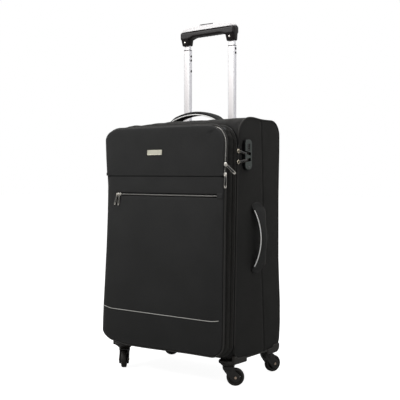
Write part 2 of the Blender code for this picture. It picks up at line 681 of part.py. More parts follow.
def edge_cutter(spec):
    """Everything outside the rounded outer bottom edge of a guard."""
    end, radius, z_low = spec.end_y, spec.edge_r, spec.z[0]
    reach = spec.outward * radius
    beyond = end + spec.outward * 0.02
    z_arc_top = z_low + radius + 0.0001
    arc = [(end - reach + reach * sin(radians(a)), z_low + radius - radius * cos(radians(a)))
           for a in range(0, 91, 15)]
    outline = [(end - reach, 0.0500), *arc, (end, z_arc_top), (beyond, z_arc_top),
               (beyond, 0.0500)]
    return extrude("outside", [outline], "X", HALF - 0.10, HALF + 0.05)


def guard(key):
    """Corner guard with its caster neck, drawn on the right and mirrored for the left."""
    front = key.startswith("front")
    spec = FRONT_GUARD if front else REAR_GUARD
    plan = fillet(rectangle(spec.x_inner, spec.y[0], GUARD_X, spec.y[1]), spec.plan_radii, 4)
    base = extrude("corner_guard_" + key, [plan], "Z", *spec.z)
    base = to_mesh(rounded(base, 0.0022, 1))
    if front:
        base = join(base, extrude("lip", [FRONT_LIP], "X", HALF - 0.006, GUARD_X))
    else:
        base = cut(base, extrude("drop", [REAR_DROP], "X", 0.0, 0.3))
    base = cut(base, edge_cutter(spec))
    base = cut(base, body_tool, keep=True)
    axis_x, axis_y, _ = CASTERS[key]
    centre = (abs(axis_x), axis_y)
    base = join(base, cylinder("neck", 0.0148, 0.0172, NECK_Z, 0.0620, centre))
    base = cut(base, cylinder("bore", 0.0040, 0.0040, 0.0400, 0.0660, centre, sides=16))
    if key.endswith("left"):
        mirror_x(base)
    finish(base, PLASTIC)


for key in CASTERS:
    guard(key)
bpy.data.objects.remove(body_tool, do_unlink=True)

# ------------------------------------------------------------------ casters
# Drawn with the swivel axis on Z and the trail along +X.
WHEEL_R, WHEEL_W, TRAIL = 0.0235, 0.0150, 0.018
CHEEK, CHEEK_INNER = 0.0136, 0.0086    # outer and inner faces of the fork cheeks
CROWN_Z = NECK_Z - GAP * 2    # top of the fork
FORK_END_R = 0.0145           # rounded end of the cheeks about the axle
HUB = Vector((TRAIL, 0, WHEEL_R))
ON_AXLE = Matrix.Translation(HUB) @ Matrix.Rotation(pi / 2, 4, "X")


def fork_mesh(name):
    end = [(TRAIL + FORK_END_R * cos(radians(a)), WHEEL_R + FORK_END_R * sin(radians(a)))
           for a in range(-150, 61, 15)]
    outline = end + [(0.0185, 0.0440), (0.0155, CROWN_Z), (-0.0150, CROWN_Z),
                     (-0.0150, 0.0450), (-0.0040, 0.0300)]
    fork = extrude(name, [outline], "Y", -CHEEK, CHEEK)
    wheel_room = cylinder("wheel_room", 0.0247, 0.0247, -CHEEK_INNER, CHEEK_INNER, sides=32)
    pin_hole = cylinder("pin_hole", 0.0023, 0.0023, -0.03, 0.03, sides=12)
    for tool in (wheel_room, pin_hole):
        tool.data.transform(ON_AXLE)
    fork = cut(fork, wheel_room, pin_hole)
    return join(fork, cylinder("stem", 0.0035, 0.0035, CROWN_Z - 0.002, 0.0650, sides=16))


def wheel_mesh(name):
    """A closed profile turned about the axle."""
    half = WHEEL_W / 2
    profile = [               # radius, distance from the middle plane
        (0.0023, half - 0.0002), (0.0065, half - 0.0002), (0.0085, half - 0.0028),
        (0.0155, half - 0.0028), (0.0172, half - 0.0006), (0.0212, half - 0.0004),
        (WHEEL_R, half - 0.0030),
    ]
    profile += [(radius, -offset) for radius, offset in reversed(profile)]
    count = len(profile)
    mesh = bpy.data.meshes.new(name)
    mesh.from_pydata([(radius, 0, offset) for radius, offset in profile],
                     [(i, (i + 1) % count) for i in range(count)], [])
    wheel = new_object(name, mesh)
    turn = wheel.modifiers.new("turn", "SCREW")
    turn.steps = 24
    turn.render_steps = 24
    turn.use_merge_vertices = True
    turn.merge_threshold = 1e-5
    wheel = to_mesh(wheel)
    wheel.data.transform(ON_AXLE)
    return wheel


def axle_mesh(name):
    """Pin with a tapered head at each end."""
    pin_end, head_end = CHEEK + 0.0008, CHEEK + 0.0016
    axle = cylinder(name, 0.0020, 0.0020, -pin_end, pin_end, sides=12)
    axle = join(axle,
                cylinder("head", 0.0038, 0.0032, CHEEK + GAP, head_end, sides=12),
                cylinder("head2", 0.0032, 0.0038, -head_end, -CHEEK - GAP, sides=12))
    axle.data.transform(ON_AXLE)
    return axle


for key, (axis_x, axis_y, degrees) in CASTERS.items():
    place = Matrix.Translation((axis_x, axis_y, 0)) @ Matrix.Rotation(radians(degrees), 4, "Z")
    hub = place @ HUB
    for kind, make, origin, look in (
        ("fork", fork_mesh, (axis_x, axis_y, CROWN_Z), PLASTIC),
        ("wheel", wheel_mesh, hub, WHEEL_RUBBER),
        ("axle", axle_mesh, hub, AXLE_METAL),
    ):
        part = make(f"caster_{kind}_{key}")
        part.data.transform(place)
        finish(pivot(part, origin), look, smooth=35)

# ------------------------------------------------------------------ centre the footprint
for part in PARTS.objects:
    part.location += SHIFT
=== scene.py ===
"""Looks for the softside upright suitcase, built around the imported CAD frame."""
import json
import math
from math import sin, cos, pi, radians, sqrt, atan2, exp, hypot

import bmesh
import bpy
import numpy as np
from mathutils import Matrix, Vector
from mathutils.geometry import delaunay_2d_cdt


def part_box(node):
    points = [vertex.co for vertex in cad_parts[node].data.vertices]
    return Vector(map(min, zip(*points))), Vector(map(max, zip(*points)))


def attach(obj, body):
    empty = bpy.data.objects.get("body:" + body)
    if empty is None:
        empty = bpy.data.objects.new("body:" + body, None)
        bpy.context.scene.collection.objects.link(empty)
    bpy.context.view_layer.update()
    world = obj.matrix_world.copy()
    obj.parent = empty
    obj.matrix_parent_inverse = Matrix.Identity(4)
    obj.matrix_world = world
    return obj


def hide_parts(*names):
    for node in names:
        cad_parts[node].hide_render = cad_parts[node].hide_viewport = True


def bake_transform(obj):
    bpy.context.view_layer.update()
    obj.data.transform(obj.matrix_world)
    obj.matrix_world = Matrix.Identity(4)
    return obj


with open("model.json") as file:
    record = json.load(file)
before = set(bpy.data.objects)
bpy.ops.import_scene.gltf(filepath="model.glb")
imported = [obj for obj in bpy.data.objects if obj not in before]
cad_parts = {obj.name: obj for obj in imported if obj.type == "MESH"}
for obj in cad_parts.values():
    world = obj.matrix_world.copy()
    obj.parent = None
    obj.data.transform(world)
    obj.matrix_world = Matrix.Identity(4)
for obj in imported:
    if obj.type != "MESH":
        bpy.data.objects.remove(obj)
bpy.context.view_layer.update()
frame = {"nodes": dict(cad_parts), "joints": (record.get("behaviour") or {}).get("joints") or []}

NODES = frame["nodes"]
lo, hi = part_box("side_panel_right")
HALF = 0.212                                   # half width, drawing coordinates
SX, SY = hi.x - HALF, hi.y - 0.104             # drawing frame to row frame
ZT, ZB, YB = hi.z, lo.z, 0.104
R_TOP, R_BOT = 0.037, 0.030
LEAN = 0.030
LID_HALF, LID_TOP, LID_BOT, LID_RT, LID_RB = 0.2105, 0.682, 0.0785, 0.045, 0.036
SEAM_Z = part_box("upper_pocket_flap")[0].z
SLIT_Z = 0.4985
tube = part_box("mid_tube_right")
TUBE_X, TUBE_Y = (tube[0].x + tube[1].x) / 2 - SX, (tube[0].y + tube[1].y) / 2 - SY


def yz(z):
    return -0.105 + LEAN * (z - 0.40)


# =============================================================== materials
def tree(name):
    m = bpy.data.materials.new(name)
    m.use_nodes = True
    nt = m.node_tree
    return m, nt, nt.nodes["Principled BSDF"]


def node(nt, kind, **kw):
    n = nt.nodes.new(kind)
    for k, v in kw.items():
        if k == "inputs":
            for i, val in v.items():
                n.inputs[i].default_value = val
        else:
            setattr(n, k, v)
    return n


def math_node(nt, op, a, b=None, clamp=False):
    n = nt.nodes.new("ShaderNodeMath")
    n.operation = op
    n.use_clamp = clamp
    for i, v in enumerate((a, b)):
        if v is None:
            continue
        if hasattr(v, "links") or hasattr(v, "is_linked"):
            nt.links.new(v, n.inputs[i])
        else:
            n.inputs[i].default_value = v
    return n.outputs[0]


def surface_uv(nt):
    """Two in-surface coordinates in metres, chosen by the object-space normal."""
    tc = node(nt, "ShaderNodeTexCoord")
    p = node(nt, "ShaderNodeSeparateXYZ")
    n = node(nt, "ShaderNodeSeparateXYZ")
    nt.links.new(tc.outputs["Object"], p.inputs[0])
    nt.links.new(tc.outputs["Normal"], n.inputs[0])
    ax = math_node(nt, "ABSOLUTE", n.outputs[0])
    ay = math_node(nt, "ABSOLUTE", n.outputs[1])
    az = math_node(nt, "ABSOLUTE", n.outputs[2])
    x_dom = math_node(nt, "GREATER_THAN", ax, ay)
    z_dom = math_node(nt, "GREATER_THAN", az, 0.75)

    def pick(f, a, b):
        m = nt.nodes.new("ShaderNodeMix")
        m.data_type = "FLOAT"
        nt.links.new(f, m.inputs[0])
        nt.links.new(a, m.inputs[2])
        nt.links.new(b, m.inputs[3])
        return m.outputs[0]
    not_z = math_node(nt, "SUBTRACT", 1.0, z_dom)
    x_side = math_node(nt, "MULTIPLY", x_dom, not_z)
    u = pick(x_side, p.outputs[0], p.outputs[1])
    v = pick(z_dom, p.outputs[2], p.outputs[1])
    return tc, u, v


def ramp(nt, fac, stops):
    r = nt.nodes.new("ShaderNodeValToRGB")
    nt.links.new(fac, r.inputs[0])
    el = r.color_ramp.elements
    while len(el) < len(stops):
        el.new(0.5)
    for e, (pos, col) in zip(el, stops):
        e.position = pos
        e.color = (*col, 1.0) if len(col) == 3 else col
    return r.outputs[0]


def fabric(name, rgb, pitch=0.0011, rough=0.82, sheen=0.25, bump=0.55, twill=True, var=0.20, streak=0.05, rib=None, painted_top_light=0.0):
    """Woven cloth: interlaced threads, slubs, soft shade variation, paler worn edges, fuzzy sheen.
    The top-light factor is painted light: it pales the cloth towards the top, as if the lamps lit the top more than the
    foot."""
    m, nt, b = tree(name)
    tc, u, v = surface_uv(nt)
    k = 2 * pi / pitch
    su = math_node(nt, "MULTIPLY", u, k)
    sv = math_node(nt, "MULTIPLY", v, k)
    wa = math_node(nt, "SINE", su)
    wb = math_node(nt, "SINE", sv)
    plain = math_node(nt, "MULTIPLY", wa, wb)
    if twill:
        diag = math_node(nt, "SINE", math_node(nt, "ADD", math_node(nt, "MULTIPLY", u, k * 0.5), math_node(nt, "MULTIPLY", v, k * 0.5)))
        weave = math_node(nt, "ADD", math_node(nt, "MULTIPLY", plain, 0.5), math_node(nt, "MULTIPLY", diag, 0.5))
    else:
        weave = plain
    if rib:
        ribs = math_node(nt, "SINE", math_node(nt, "MULTIPLY", u if rib == "u" else v, 2 * pi / 0.0024))
        weave = math_node(nt, "ADD", math_node(nt, "MULTIPLY", weave, 0.45), ribs)
    slub = node(nt, "ShaderNodeTexNoise", inputs={"Scale": 900.0, "Detail": 2.0})
    nt.links.new(tc.outputs["Object"], slub.inputs["Vector"])
    height = math_node(nt, "ADD", weave, math_node(nt, "MULTIPLY", slub.outputs["Fac"], 0.8))
    bp = node(nt, "ShaderNodeBump", inputs={"Strength": bump, "Distance": 0.0005})
    nt.links.new(height, bp.inputs["Height"])
    # colour: large soft shade patches, thread-scale speckle, wear on edges
    big = node(nt, "ShaderNodeTexNoise", inputs={"Scale": 9.0, "Detail": 3.0, "Roughness": 0.6})
    nt.links.new(tc.outputs["Object"], big.inputs["Vector"])
    mid = node(nt, "ShaderNodeTexNoise", inputs={"Scale": 330.0, "Detail": 3.0, "Roughness": 0.7})
    nt.links.new(tc.outputs["Object"], mid.inputs["Vector"])
    mix = math_node(nt, "ADD", math_node(nt, "MULTIPLY", big.outputs["Fac"], 0.55), math_node(nt, "MULTIPLY", mid.outputs["Fac"], 0.45))
    dark = tuple(c * (1 - var) for c in rgb)
    light = tuple(c * (1 + var) for c in rgb)
    col = ramp(nt, mix, [(0.30, dark), (0.70, light)])
    # painted light: the colour is scaled up with height, so the cloth is paler at the top as if lit from above
    if painted_top_light:
        high = node(nt, "ShaderNodeSeparateXYZ")
        nt.links.new(tc.outputs["Object"], high.inputs[0])
        pale = nt.nodes.new("ShaderNodeVectorMath")
        pale.operation = "SCALE"
        nt.links.new(col, pale.inputs[0])
        nt.links.new(math_node(nt, "ADD", math_node(nt, "MULTIPLY", high.outputs[2], painted_top_light), 1 - 0.25 * painted_top_light), pale.inputs["Scale"])
        col = pale.outputs[0]
    geo = node(nt, "ShaderNodeNewGeometry")
    edge = ramp(nt, geo.outputs["Pointiness"], [(0.505, (0, 0, 0)), (0.56, (1, 1, 1))])
    wear = nt.nodes.new("ShaderNodeMix")
    wear.data_type = "RGBA"
    nt.links.new(math_node(nt, "MULTIPLY", edge, 0.35), wear.inputs[0])
    nt.links.new(col, wear.inputs[6])
    wear.inputs[7].default_value = (*[min(1, c * 1.9 + 0.004) for c in rgb], 1)
    nt.links.new(wear.outputs[2], b.inputs["Base Color"])
    rr = math_node(nt, "ADD", rough - 0.06, math_node(nt, "MULTIPLY", mid.outputs["Fac"], 0.12))
    nt.links.new(rr, b.inputs["Roughness"])
    nt.links.new(bp.outputs[0], b.inputs["Normal"])
    b.inputs["Sheen Weight"].default_value = sheen
    b.inputs["Sheen Roughness"].default_value = 0.45
    b.inputs["Sheen Tint"].default_value = (0.22, 0.22, 0.20, 1)
    b.inputs["Specular IOR Level"].default_value = 0.12
    return m


def moulded(name, rgb, rough=0.5, grain=1400.0, bump=0.12, var=0.12, metal=0.0, coat=0.0, spec=0.35):
    """Moulded plastic or rubber: spark-eroded grain, scuffs, slight shade variation."""
    m, nt, b = tree(name)
    tc = node(nt, "ShaderNodeTexCoord")
    g = node(nt, "ShaderNodeTexNoise", inputs={"Scale": grain, "Detail": 2.0})
    s = node(nt, "ShaderNodeTexNoise", inputs={"Scale": 45.0, "Detail": 6.0, "Roughness": 0.7})
    nt.links.new(tc.outputs["Object"], g.inputs["Vector"])
    nt.links.new(tc.outputs["Object"], s.inputs["Vector"])
    bp = node(nt, "ShaderNodeBump", inputs={"Strength": bump, "Distance": 0.0003})
    nt.links.new(g.outputs["Fac"], bp.inputs["Height"])
    nt.links.new(bp.outputs[0], b.inputs["Normal"])
    col = ramp(nt, s.outputs["Fac"], [(0.35, tuple(c * (1 - var) for c in rgb)), (0.68, tuple(c * (1 + var) for c in rgb))])
    geo = node(nt, "ShaderNodeNewGeometry")
    edge = ramp(nt, geo.outputs["Pointiness"], [(0.51, (0, 0, 0)), (0.60, (1, 1, 1))])
    wear = nt.nodes.new("ShaderNodeMix")
    wear.data_type = "RGBA"
    nt.links.new(math_node(nt, "MULTIPLY", edge, 0.4), wear.inputs[0])
    nt.links.new(col, wear.inputs[6])
    wear.inputs[7].default_value = (*[min(1, c * 1.8 + 0.006) for c in rgb], 1)
    nt.links.new(wear.outputs[2], b.inputs["Base Color"])
    rr = math_node(nt, "ADD", rough - 0.08, math_node(nt, "MULTIPLY", s.outputs["Fac"], 0.16))
    nt.links.new(rr, b.inputs["Roughness"])
    b.inputs["Metallic"].default_value = metal
    b.inputs["Coat Weight"].default_value = coat
    b.inputs["Coat Roughness"].default_value = 0.12
    b.inputs["Specular IOR Level"].default_value = spec
    return m


def metal(name, rgb, rough=0.25, brush=(1, 1, 0.02), bump=0.05, var=0.06, scale=900.0):
    """Metal with brushing or fine casting marks; brush squeezes the noise along its grain."""
    m, nt, b = tree(name)
    tc = node(nt, "ShaderNodeTexCoord")
    mp = node(nt, "ShaderNodeMapping")
    mp.inputs["Scale"].default_value = brush
    nt.links.new(tc.outputs["Object"], mp.inputs[0])
    g = node(nt, "ShaderNodeTexNoise", inputs={"Scale": scale, "Detail": 3.0})
    nt.links.new(mp.outputs[0], g.inputs["Vector"])
    s = node(nt, "ShaderNodeTexNoise", inputs={"Scale": 30.0, "Detail": 4.0})
    nt.links.new(tc.outputs["Object"], s.inputs["Vector"])
    bp = node(nt, "ShaderNodeBump", inputs={"Strength": bump, "Distance": 0.0002})
    nt.links.new(g.outputs["Fac"], bp.inputs["Height"])
    nt.links.new(bp.outputs[0], b.inputs["Normal"])
    col = ramp(nt, s.outputs["Fac"], [(0.3, tuple(c * (1 - var) for c in rgb)), (0.7, tuple(min(1, c * (1 + var)) for c in rgb))])
    nt.links.new(col, b.inputs["Base Color"])
    rr = math_node(nt, "ADD", rough - 0.05, math_node(nt, "MULTIPLY", g.outputs["Fac"], 0.10))
    nt.links.new(rr, b.inputs["Roughness"])
    b.inputs["Metallic"].default_value = 1.0
    return m


def tube_metal_painted_light(name, front, corner, side, rough=0.3, metallic=0.85):
    """Extruded tube: drawn streaks along the length; colour is painted light by facing, with a painted highlight on the
    rounded corners and a cooler painted reflection on the side walls.
    """
    m, nt, b = tree(name)
    tc = node(nt, "ShaderNodeTexCoord")
    sp = node(nt, "ShaderNodeSeparateXYZ")
    nt.links.new(tc.outputs["Normal"], sp.inputs[0])
    ax = math_node(nt, "ABSOLUTE", sp.outputs[0])
    # painted light: colour picked by which way the face points, a darker front, painted highlight on the corners, a
    # painted dark line before the side and a bluish painted reflection on the side walls
    col = ramp(nt, ax, [(0.0, front), (0.30, corner), (0.62, corner), (0.80, tuple(c * 0.80 for c in side)), (1.0, side)])
    mp = node(nt, "ShaderNodeMapping")
    mp.inputs["Scale"].default_value = (1, 1, 0.012)
    nt.links.new(tc.outputs["Object"], mp.inputs[0])
    g = node(nt, "ShaderNodeTexNoise", inputs={"Scale": 1100.0, "Detail": 2.0})
    nt.links.new(mp.outputs[0], g.inputs["Vector"])
    mx = nt.nodes.new("ShaderNodeMix")
    mx.data_type = "RGBA"
    mx.blend_type = "MULTIPLY"
    mx.inputs[0].default_value = 1.0
    nt.links.new(col, mx.inputs[6])
    nt.links.new(ramp(nt, g.outputs["Fac"], [(0.3, (0.95, 0.95, 0.95)), (0.7, (1, 1, 1))]), mx.inputs[7])
    nt.links.new(mx.outputs[2], b.inputs["Base Color"])
    bp = node(nt, "ShaderNodeBump", inputs={"Strength": 0.03, "Distance": 0.0001})
    nt.links.new(g.outputs["Fac"], bp.inputs["Height"])
    nt.links.new(bp.outputs[0], b.inputs["Normal"])
    nt.links.new(math_node(nt, "ADD", rough, math_node(nt, "MULTIPLY", g.outputs["Fac"], 0.08)), b.inputs["Roughness"])
    b.inputs["Metallic"].default_value = metallic
    return m


def two_tone(name, face, wall, rough=0.35):
    """Moulded part whose flat outer face is a satin shade and whose walls are dark and glossy."""
    m, nt, b = tree(name)
    tc = node(nt, "ShaderNodeTexCoord")
    sp = node(nt, "ShaderNodeSeparateXYZ")
    nt.links.new(tc.outputs["Normal"], sp.inputs[0])
    g = node(nt, "ShaderNodeTexNoise", inputs={"Scale": 1600.0, "Detail": 2.0})
    nt.links.new(tc.outputs["Object"], g.inputs["Vector"])
    k = ramp(nt, sp.outputs[0], [(0.80, (0, 0, 0)), (0.92, (1, 1, 1))])
    mx = nt.nodes.new("ShaderNodeMix")
    mx.data_type = "RGBA"
    nt.links.new(k, mx.inputs[0])
    mx.inputs[6].default_value = (*wall, 1)
    nt.links.new(ramp(nt, g.outputs["Fac"], [(0.35, tuple(c * 0.85 for c in face)), (0.65, tuple(c * 1.15 for c in face))]), mx.inputs[7])
    nt.links.new(mx.outputs[2], b.inputs["Base Color"])
    nt.links.new(math_node(nt, "ADD", rough - 0.12, math_node(nt, "MULTIPLY", k, 0.22)), b.inputs["Roughness"])
    bp = node(nt, "ShaderNodeBump", inputs={"Strength": 0.1, "Distance": 0.0002})
    nt.links.new(g.outputs["Fac"], bp.inputs["Height"])
    nt.links.new(bp.outputs[0], b.inputs["Normal"])
    b.inputs["Coat Weight"].default_value = 0.0
    b.inputs["Specular IOR Level"].default_value = 0.18
    return m


def srgb(v):
    c = v / 255.0
    return c / 12.92 if c <= 0.04045 else ((c + 0.055) / 1.055) ** 2.4


def grey(v, w=0.0):
    """Neutral of an sRGB level, w warms it."""
    return (srgb(v + w), srgb(v), srgb(v - w * 1.2))


M = {
    # painted light: the lower cloth is the front cloth painted darker as painted shade, and the lower and side cloths
    # are painted paler towards the top
    "front": fabric("fabric_front", grey(46), pitch=0.0010),
    "lower": fabric("fabric_lower_painted_shade", grey(39.5), pitch=0.0010, painted_top_light=1.45),
    "side": fabric("fabric_side", grey(35.8, 0.5), pitch=0.0010, painted_top_light=0.85),
    "gusset": fabric("fabric_gusset", grey(26, 1), pitch=0.0009, twill=False),
    "piping": fabric("fabric_piping", grey(44, 1), pitch=0.0008, rough=0.50, bump=0.12, sheen=0.45),
    "tape": fabric("zip_tape", grey(14), pitch=0.0007, twill=False, rough=0.75, rib="u"),
    "webbing": fabric("webbing", grey(30), pitch=0.0014, rough=0.75, rib="v"),
    "handle": fabric("fabric_handle", grey(42), pitch=0.0010),
    "lining": fabric("lining", (0.055, 0.056, 0.058), pitch=0.0006, twill=False, rough=0.55, sheen=0.1, bump=0.12),
    "silver": fabric("silver_piping", (0.97, 0.96, 0.92), pitch=0.0007, rough=0.34, sheen=0.0, bump=0.12, var=0.03),
    "silver_front": fabric("silver_piping_front", (0.43, 0.425, 0.40), pitch=0.0007, rough=0.40, sheen=0.0, bump=0.15, var=0.08),
    "thread": fabric("thread", grey(58), pitch=0.0005, rough=0.7, bump=0.2),
    "net": fabric("net", grey(30), pitch=0.002, rough=0.7, bump=0.3),
    "guard": moulded("guard_plastic", grey(26, 3), 0.50, bump=0.18),
    "caster": moulded("caster_plastic", grey(27, 2), 0.46, bump=0.15),
    "tyre": moulded("tyre", grey(21, 3), 0.58, grain=2200, bump=0.2),
    "hub": moulded("hub_plastic", grey(12, 1), 0.50),
    "gloss": moulded("lock_plastic", grey(20, 1), 0.24, bump=0.04, coat=0.6),
    "lock": two_tone("lock_shell", (srgb(84), srgb(89), srgb(86)), grey(17, 0), rough=0.46),
    "dial": moulded("dial_plastic", grey(50, 1), 0.35, bump=0.1),
    "grip": moulded("grip_plastic", (0.0070, 0.0048, 0.0050), 0.38, bump=0.03, var=0.08, spec=0.25),
    "button": moulded("button_plastic", grey(30), 0.45, spec=0.3),
    "board": moulded("board", (0.05, 0.05, 0.048), 0.6),
    "tray": moulded("tray_plastic", grey(36, 1), 0.5),
    "coil": metal("coil_silver", (0.52, 0.51, 0.485), 0.30, brush=(1, 1, 1)),
    "coil_fine": metal("coil_dull", (0.44, 0.43, 0.41), 0.30, brush=(1, 1, 1)),
    "coil_black": moulded("coil_black", grey(30), 0.4, bump=0.05),
    "nickel": metal("nickel", (0.74, 0.71, 0.66), 0.20, brush=(1, 1, 1), scale=500.0),
    "champagne": metal("champagne_metal", (0.80, 0.72, 0.58), 0.24, brush=(1, 1, 1), scale=500.0),
    "pull": metal("pull_nickel", (0.50, 0.475, 0.43), 0.24, brush=(1, 1, 1), scale=500.0),
    "dark_nickel": metal("dark_nickel", (0.20, 0.185, 0.16), 0.30, brush=(1, 1, 1), scale=500.0),
    # painted light on the tubes: front face painted darker, rounded corners a painted highlight, side walls a bluish
    # painted reflection
    "alu": tube_metal_painted_light("tube_aluminium", (0.66, 0.635, 0.635), (0.86, 0.86, 0.87), (0.94, 0.93, 0.97), rough=0.40, metallic=0.70),
    "cover": moulded("cover_silver", (0.80, 0.775, 0.775), 0.35, grain=2500, bump=0.02, var=0.03, coat=0.15),
    "badge": metal("badge_champagne", (0.62, 0.60, 0.50), 0.30, brush=(0.02, 1, 1), bump=0.10),
    "rivet": metal("rivet_bronze", (0.42, 0.33, 0.26), 0.35, brush=(1, 1, 1)),
    "steel": metal("spring_steel", (0.45, 0.45, 0.46), 0.35, brush=(1, 1, 1)),
}


# =============================================================== mesh helpers
SHIFT = Matrix.Translation((SX, SY, 0))


def ease(a, b, x):
    t_ = np.clip((x - a) / (b - a), 0, 1)
    return t_ * t_ * (3 - 2 * t_)


def slump(P):
    """How the stuffed cloth hangs: edges drawn in, corners sagging, back bowed. Drawing coordinates."""
    P = np.array(P, float)
    x, y, z = P[:, 0].copy(), P[:, 1].copy(), P[:, 2].copy()
    t_ = y - (-0.105 + LEAN * (z - 0.40))
    front = ease(-0.002, -0.044, t_)
    body = ease(0.000, 0.030, t_)
    drawn = np.interp(z, [0.08, 0.14, 0.18, 0.25, 0.36, 0.45, 0.52, 0.60, 0.66, 0.69], [0, 0, 0.001, 0.0045, 0.0095, 0.0115, 0.0115, 0.0040, 0.0, -0.0020])
    P[:, 0] += drawn * ease(-0.166, -0.210, x) * front
    P[:, 0] -= 0.22 * drawn * ease(0.175, 0.210, x) * front
    P[:, 2] += (0.0015 + 0.0045 * ease(-0.08, 0.12, x)) * ease(0.150, 0.082, z) * front
    P[:, 2] += 0.0085 * ease(-0.115, -0.195, x) * ease(0.170, 0.085, z) * front
    P[:, 2] -= 0.0115 * ease(-0.02, -0.190, x) * ease(0.60, 0.70, z) * body * (1 - 0.72 * ease(0.0, 0.045, y))
    P[:, 2] += 0.0045 * np.exp(-((y + 0.030) / 0.034) ** 2) * ease(0.64, 0.70, z) * ease(0.10, 0.20, x)
    bow = np.interp(z, [0.08, 0.14, 0.20, 0.26, 0.32, 0.50, 0.62, 0.70], [0.001, 0.006, 0.0055, 0.001, -0.0028, -0.0036, 0.0, 0.0])
    P[:, 1] += bow * ease(0.0, 0.104, y)
    return P


def slump_object(ob):
    me = ob.data
    co_ = np.empty(len(me.vertices) * 3)
    me.vertices.foreach_get("co", co_)
    me.vertices.foreach_set("co", slump(co_.reshape(-1, 3)).ravel())
    me.update()


def add(name, verts, faces, mat, body, slot=None, replaces=(), smooth=True, sharp=None, closed=True, soft=False):
    me = bpy.data.meshes.new(name)
    me.from_pydata([tuple(v) for v in verts], [], faces)
    bm = bmesh.new()
    bm.from_mesh(me)
    if closed:
        bmesh.ops.recalc_face_normals(bm, faces=bm.faces)
    bm.to_mesh(me)
    bm.free()
    ob = bpy.data.objects.new(name, me)
    bpy.context.scene.collection.objects.link(ob)
    return finish_piece(ob, mat, body, replaces, smooth, sharp, soft)


def finish_piece(ob, mat, body, replaces=(), smooth=True, sharp=None, soft=False):
    me = ob.data
    if soft:
        slump_object(ob)
    me.transform(SHIFT)
    me.materials.clear()
    me.materials.append(M[mat] if isinstance(mat, str) else mat)
    if smooth:
        me.shade_smooth()
        if sharp:
            me.set_sharp_from_angle(angle=radians(sharp))
    if body:
        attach(ob, body)
    if replaces:
        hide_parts(*replaces)
    return ob


def frames_along(pts, closed):
    """Tangent and a steady pair of normals at each point of a polyline."""
    P = [Vector(p) for p in pts]
    n = len(P)
    T = []
    for i in range(n):
        a = P[i - 1] if (closed or i > 0) else P[i]
        b = P[(i + 1) % n] if (closed or i < n - 1) else P[i]
        T.append((b - a).normalized())
    ref = Vector((0, 1, 0)) if abs(T[0].y) < 0.8 else Vector((1, 0, 0))
    N = []
    cur = (ref - T[0] * ref.dot(T[0])).normalized()
    for i in range(n):
        cur = (cur - T[i] * cur.dot(T[i])).normalized()
        N.append(cur.copy())
    return P, T, N


def pipe_geo(pts, r, closed=False, k=8, flat=1.0):
    P, T, N = frames_along(pts, closed)
    V, F = [], []
    n = len(P)
    for i in range(n):
        B = T[i].cross(N[i])
        for j in range(k):
            a = 2 * pi * j / k
            V.append(P[i] + N[i] * (r * cos(a)) + B * (r * flat * sin(a)))
    for i in range(n if closed else n - 1):
        for j in range(k):
            a, b = i * k + j, i * k + (j + 1) % k
            c, d = ((i + 1) % n) * k + (j + 1) % k, ((i + 1) % n) * k + j
            F.append((a, b, c, d))
    if not closed:
        F.append(tuple(range(k))[::-1])
        F.append(tuple((n - 1) * k + j for j in range(k)))
    return V, F


def pipe(name, pts, r, mat, body, closed=False, k=8, **kw):
    V, F = pipe_geo(pts, r, closed, k)
    return add(name, V, F, mat, body, **kw)


def join_geo(parts):
    V, F = [], []
    for v, f in parts:
        o = len(V)
        V += [Vector(p) for p in v]
        F += [tuple(i + o for i in g) for g in f]
    return V, F


def box_geo(lo_, hi_, M4=None):
    (x0, y0, z0), (x1, y1, z1) = lo_, hi_
    V = [Vector(p) for p in ((x0, y0, z0), (x1, y0, z0), (x1, y1, z0), (x0, y1, z0), (x0, y0, z1), (x1, y0, z1), (x1, y1, z1), (x0, y1, z1))]
    F = [(0, 3, 2, 1), (4, 5, 6, 7), (0, 1, 5, 4), (1, 2, 6, 5), (2, 3, 7, 6), (3, 0, 4, 7)]
    if M4:
        V = [M4 @ v for v in V]
    return V, F


def modifier_apply(ob):
    deps = bpy.context.evaluated_depsgraph_get()
    deps.update()
    me = bpy.data.meshes.new_from_object(ob.evaluated_get(deps))
    old = ob.data
    ob.modifiers.clear()
    ob.data = me
    bpy.data.meshes.remove(old)
    return ob


def bevelled(ob, width, segments=2, angle=40):
    m = ob.modifiers.new("edges", "BEVEL")
    m.width, m.segments, m.limit_method, m.angle_limit = width, segments, "ANGLE", radians(angle)
    m.harden_normals = False
    return ob


def fillet(pts, radii, n=5):
    out = []
    for i, p in enumerate(pts):
        p, a, b, r = Vector(p), Vector(pts[i - 1]), Vector(pts[(i + 1) % len(pts)]), radii[i]
        if r < 1e-6:
            out.append(tuple(p))
            continue
        u, v = (a - p).normalized(), (b - p).normalized()
        half = u.angle(v) / 2
        c = p + (u + v).normalized() * (r / sin(half))
        s, e = p + u * (r / math.tan(half)), p + v * (r / math.tan(half))
        a0 = atan2(s.y - c.y, s.x - c.x)
        da = (atan2(e.y - c.y, e.x - c.x) - a0 + pi) % (2 * pi) - pi
        out += [(c.x + r * cos(a0 + da * k / n), c.y + r * sin(a0 + da * k / n)) for k in range(n + 1)]
    return out


def resample(pts, step, closed=True):
    """Points spaced about step apart along a polyline, corners kept in order."""
    P = [Vector(p) for p in pts]
    if closed:
        P = P + [P[0]]
    out = []
    for a, b in zip(P[:-1], P[1:]):
        n = max(1, round((b - a).length / step))
        out += [a.lerp(b, i / n) for i in range(n)]
    if not closed:
        out.append(P[-1])
    return out


# corner of the stuffed lid: reach along x, reach along z, fullness (2 is a circle)
CORNER = {(1, 1): (0.049, 0.050, 2.0), (-1, 1): (0.050, 0.034, 1.75), (1, -1): (0.040, 0.037, 2.0), (-1, -1): (0.036, 0.025, 1.7)}


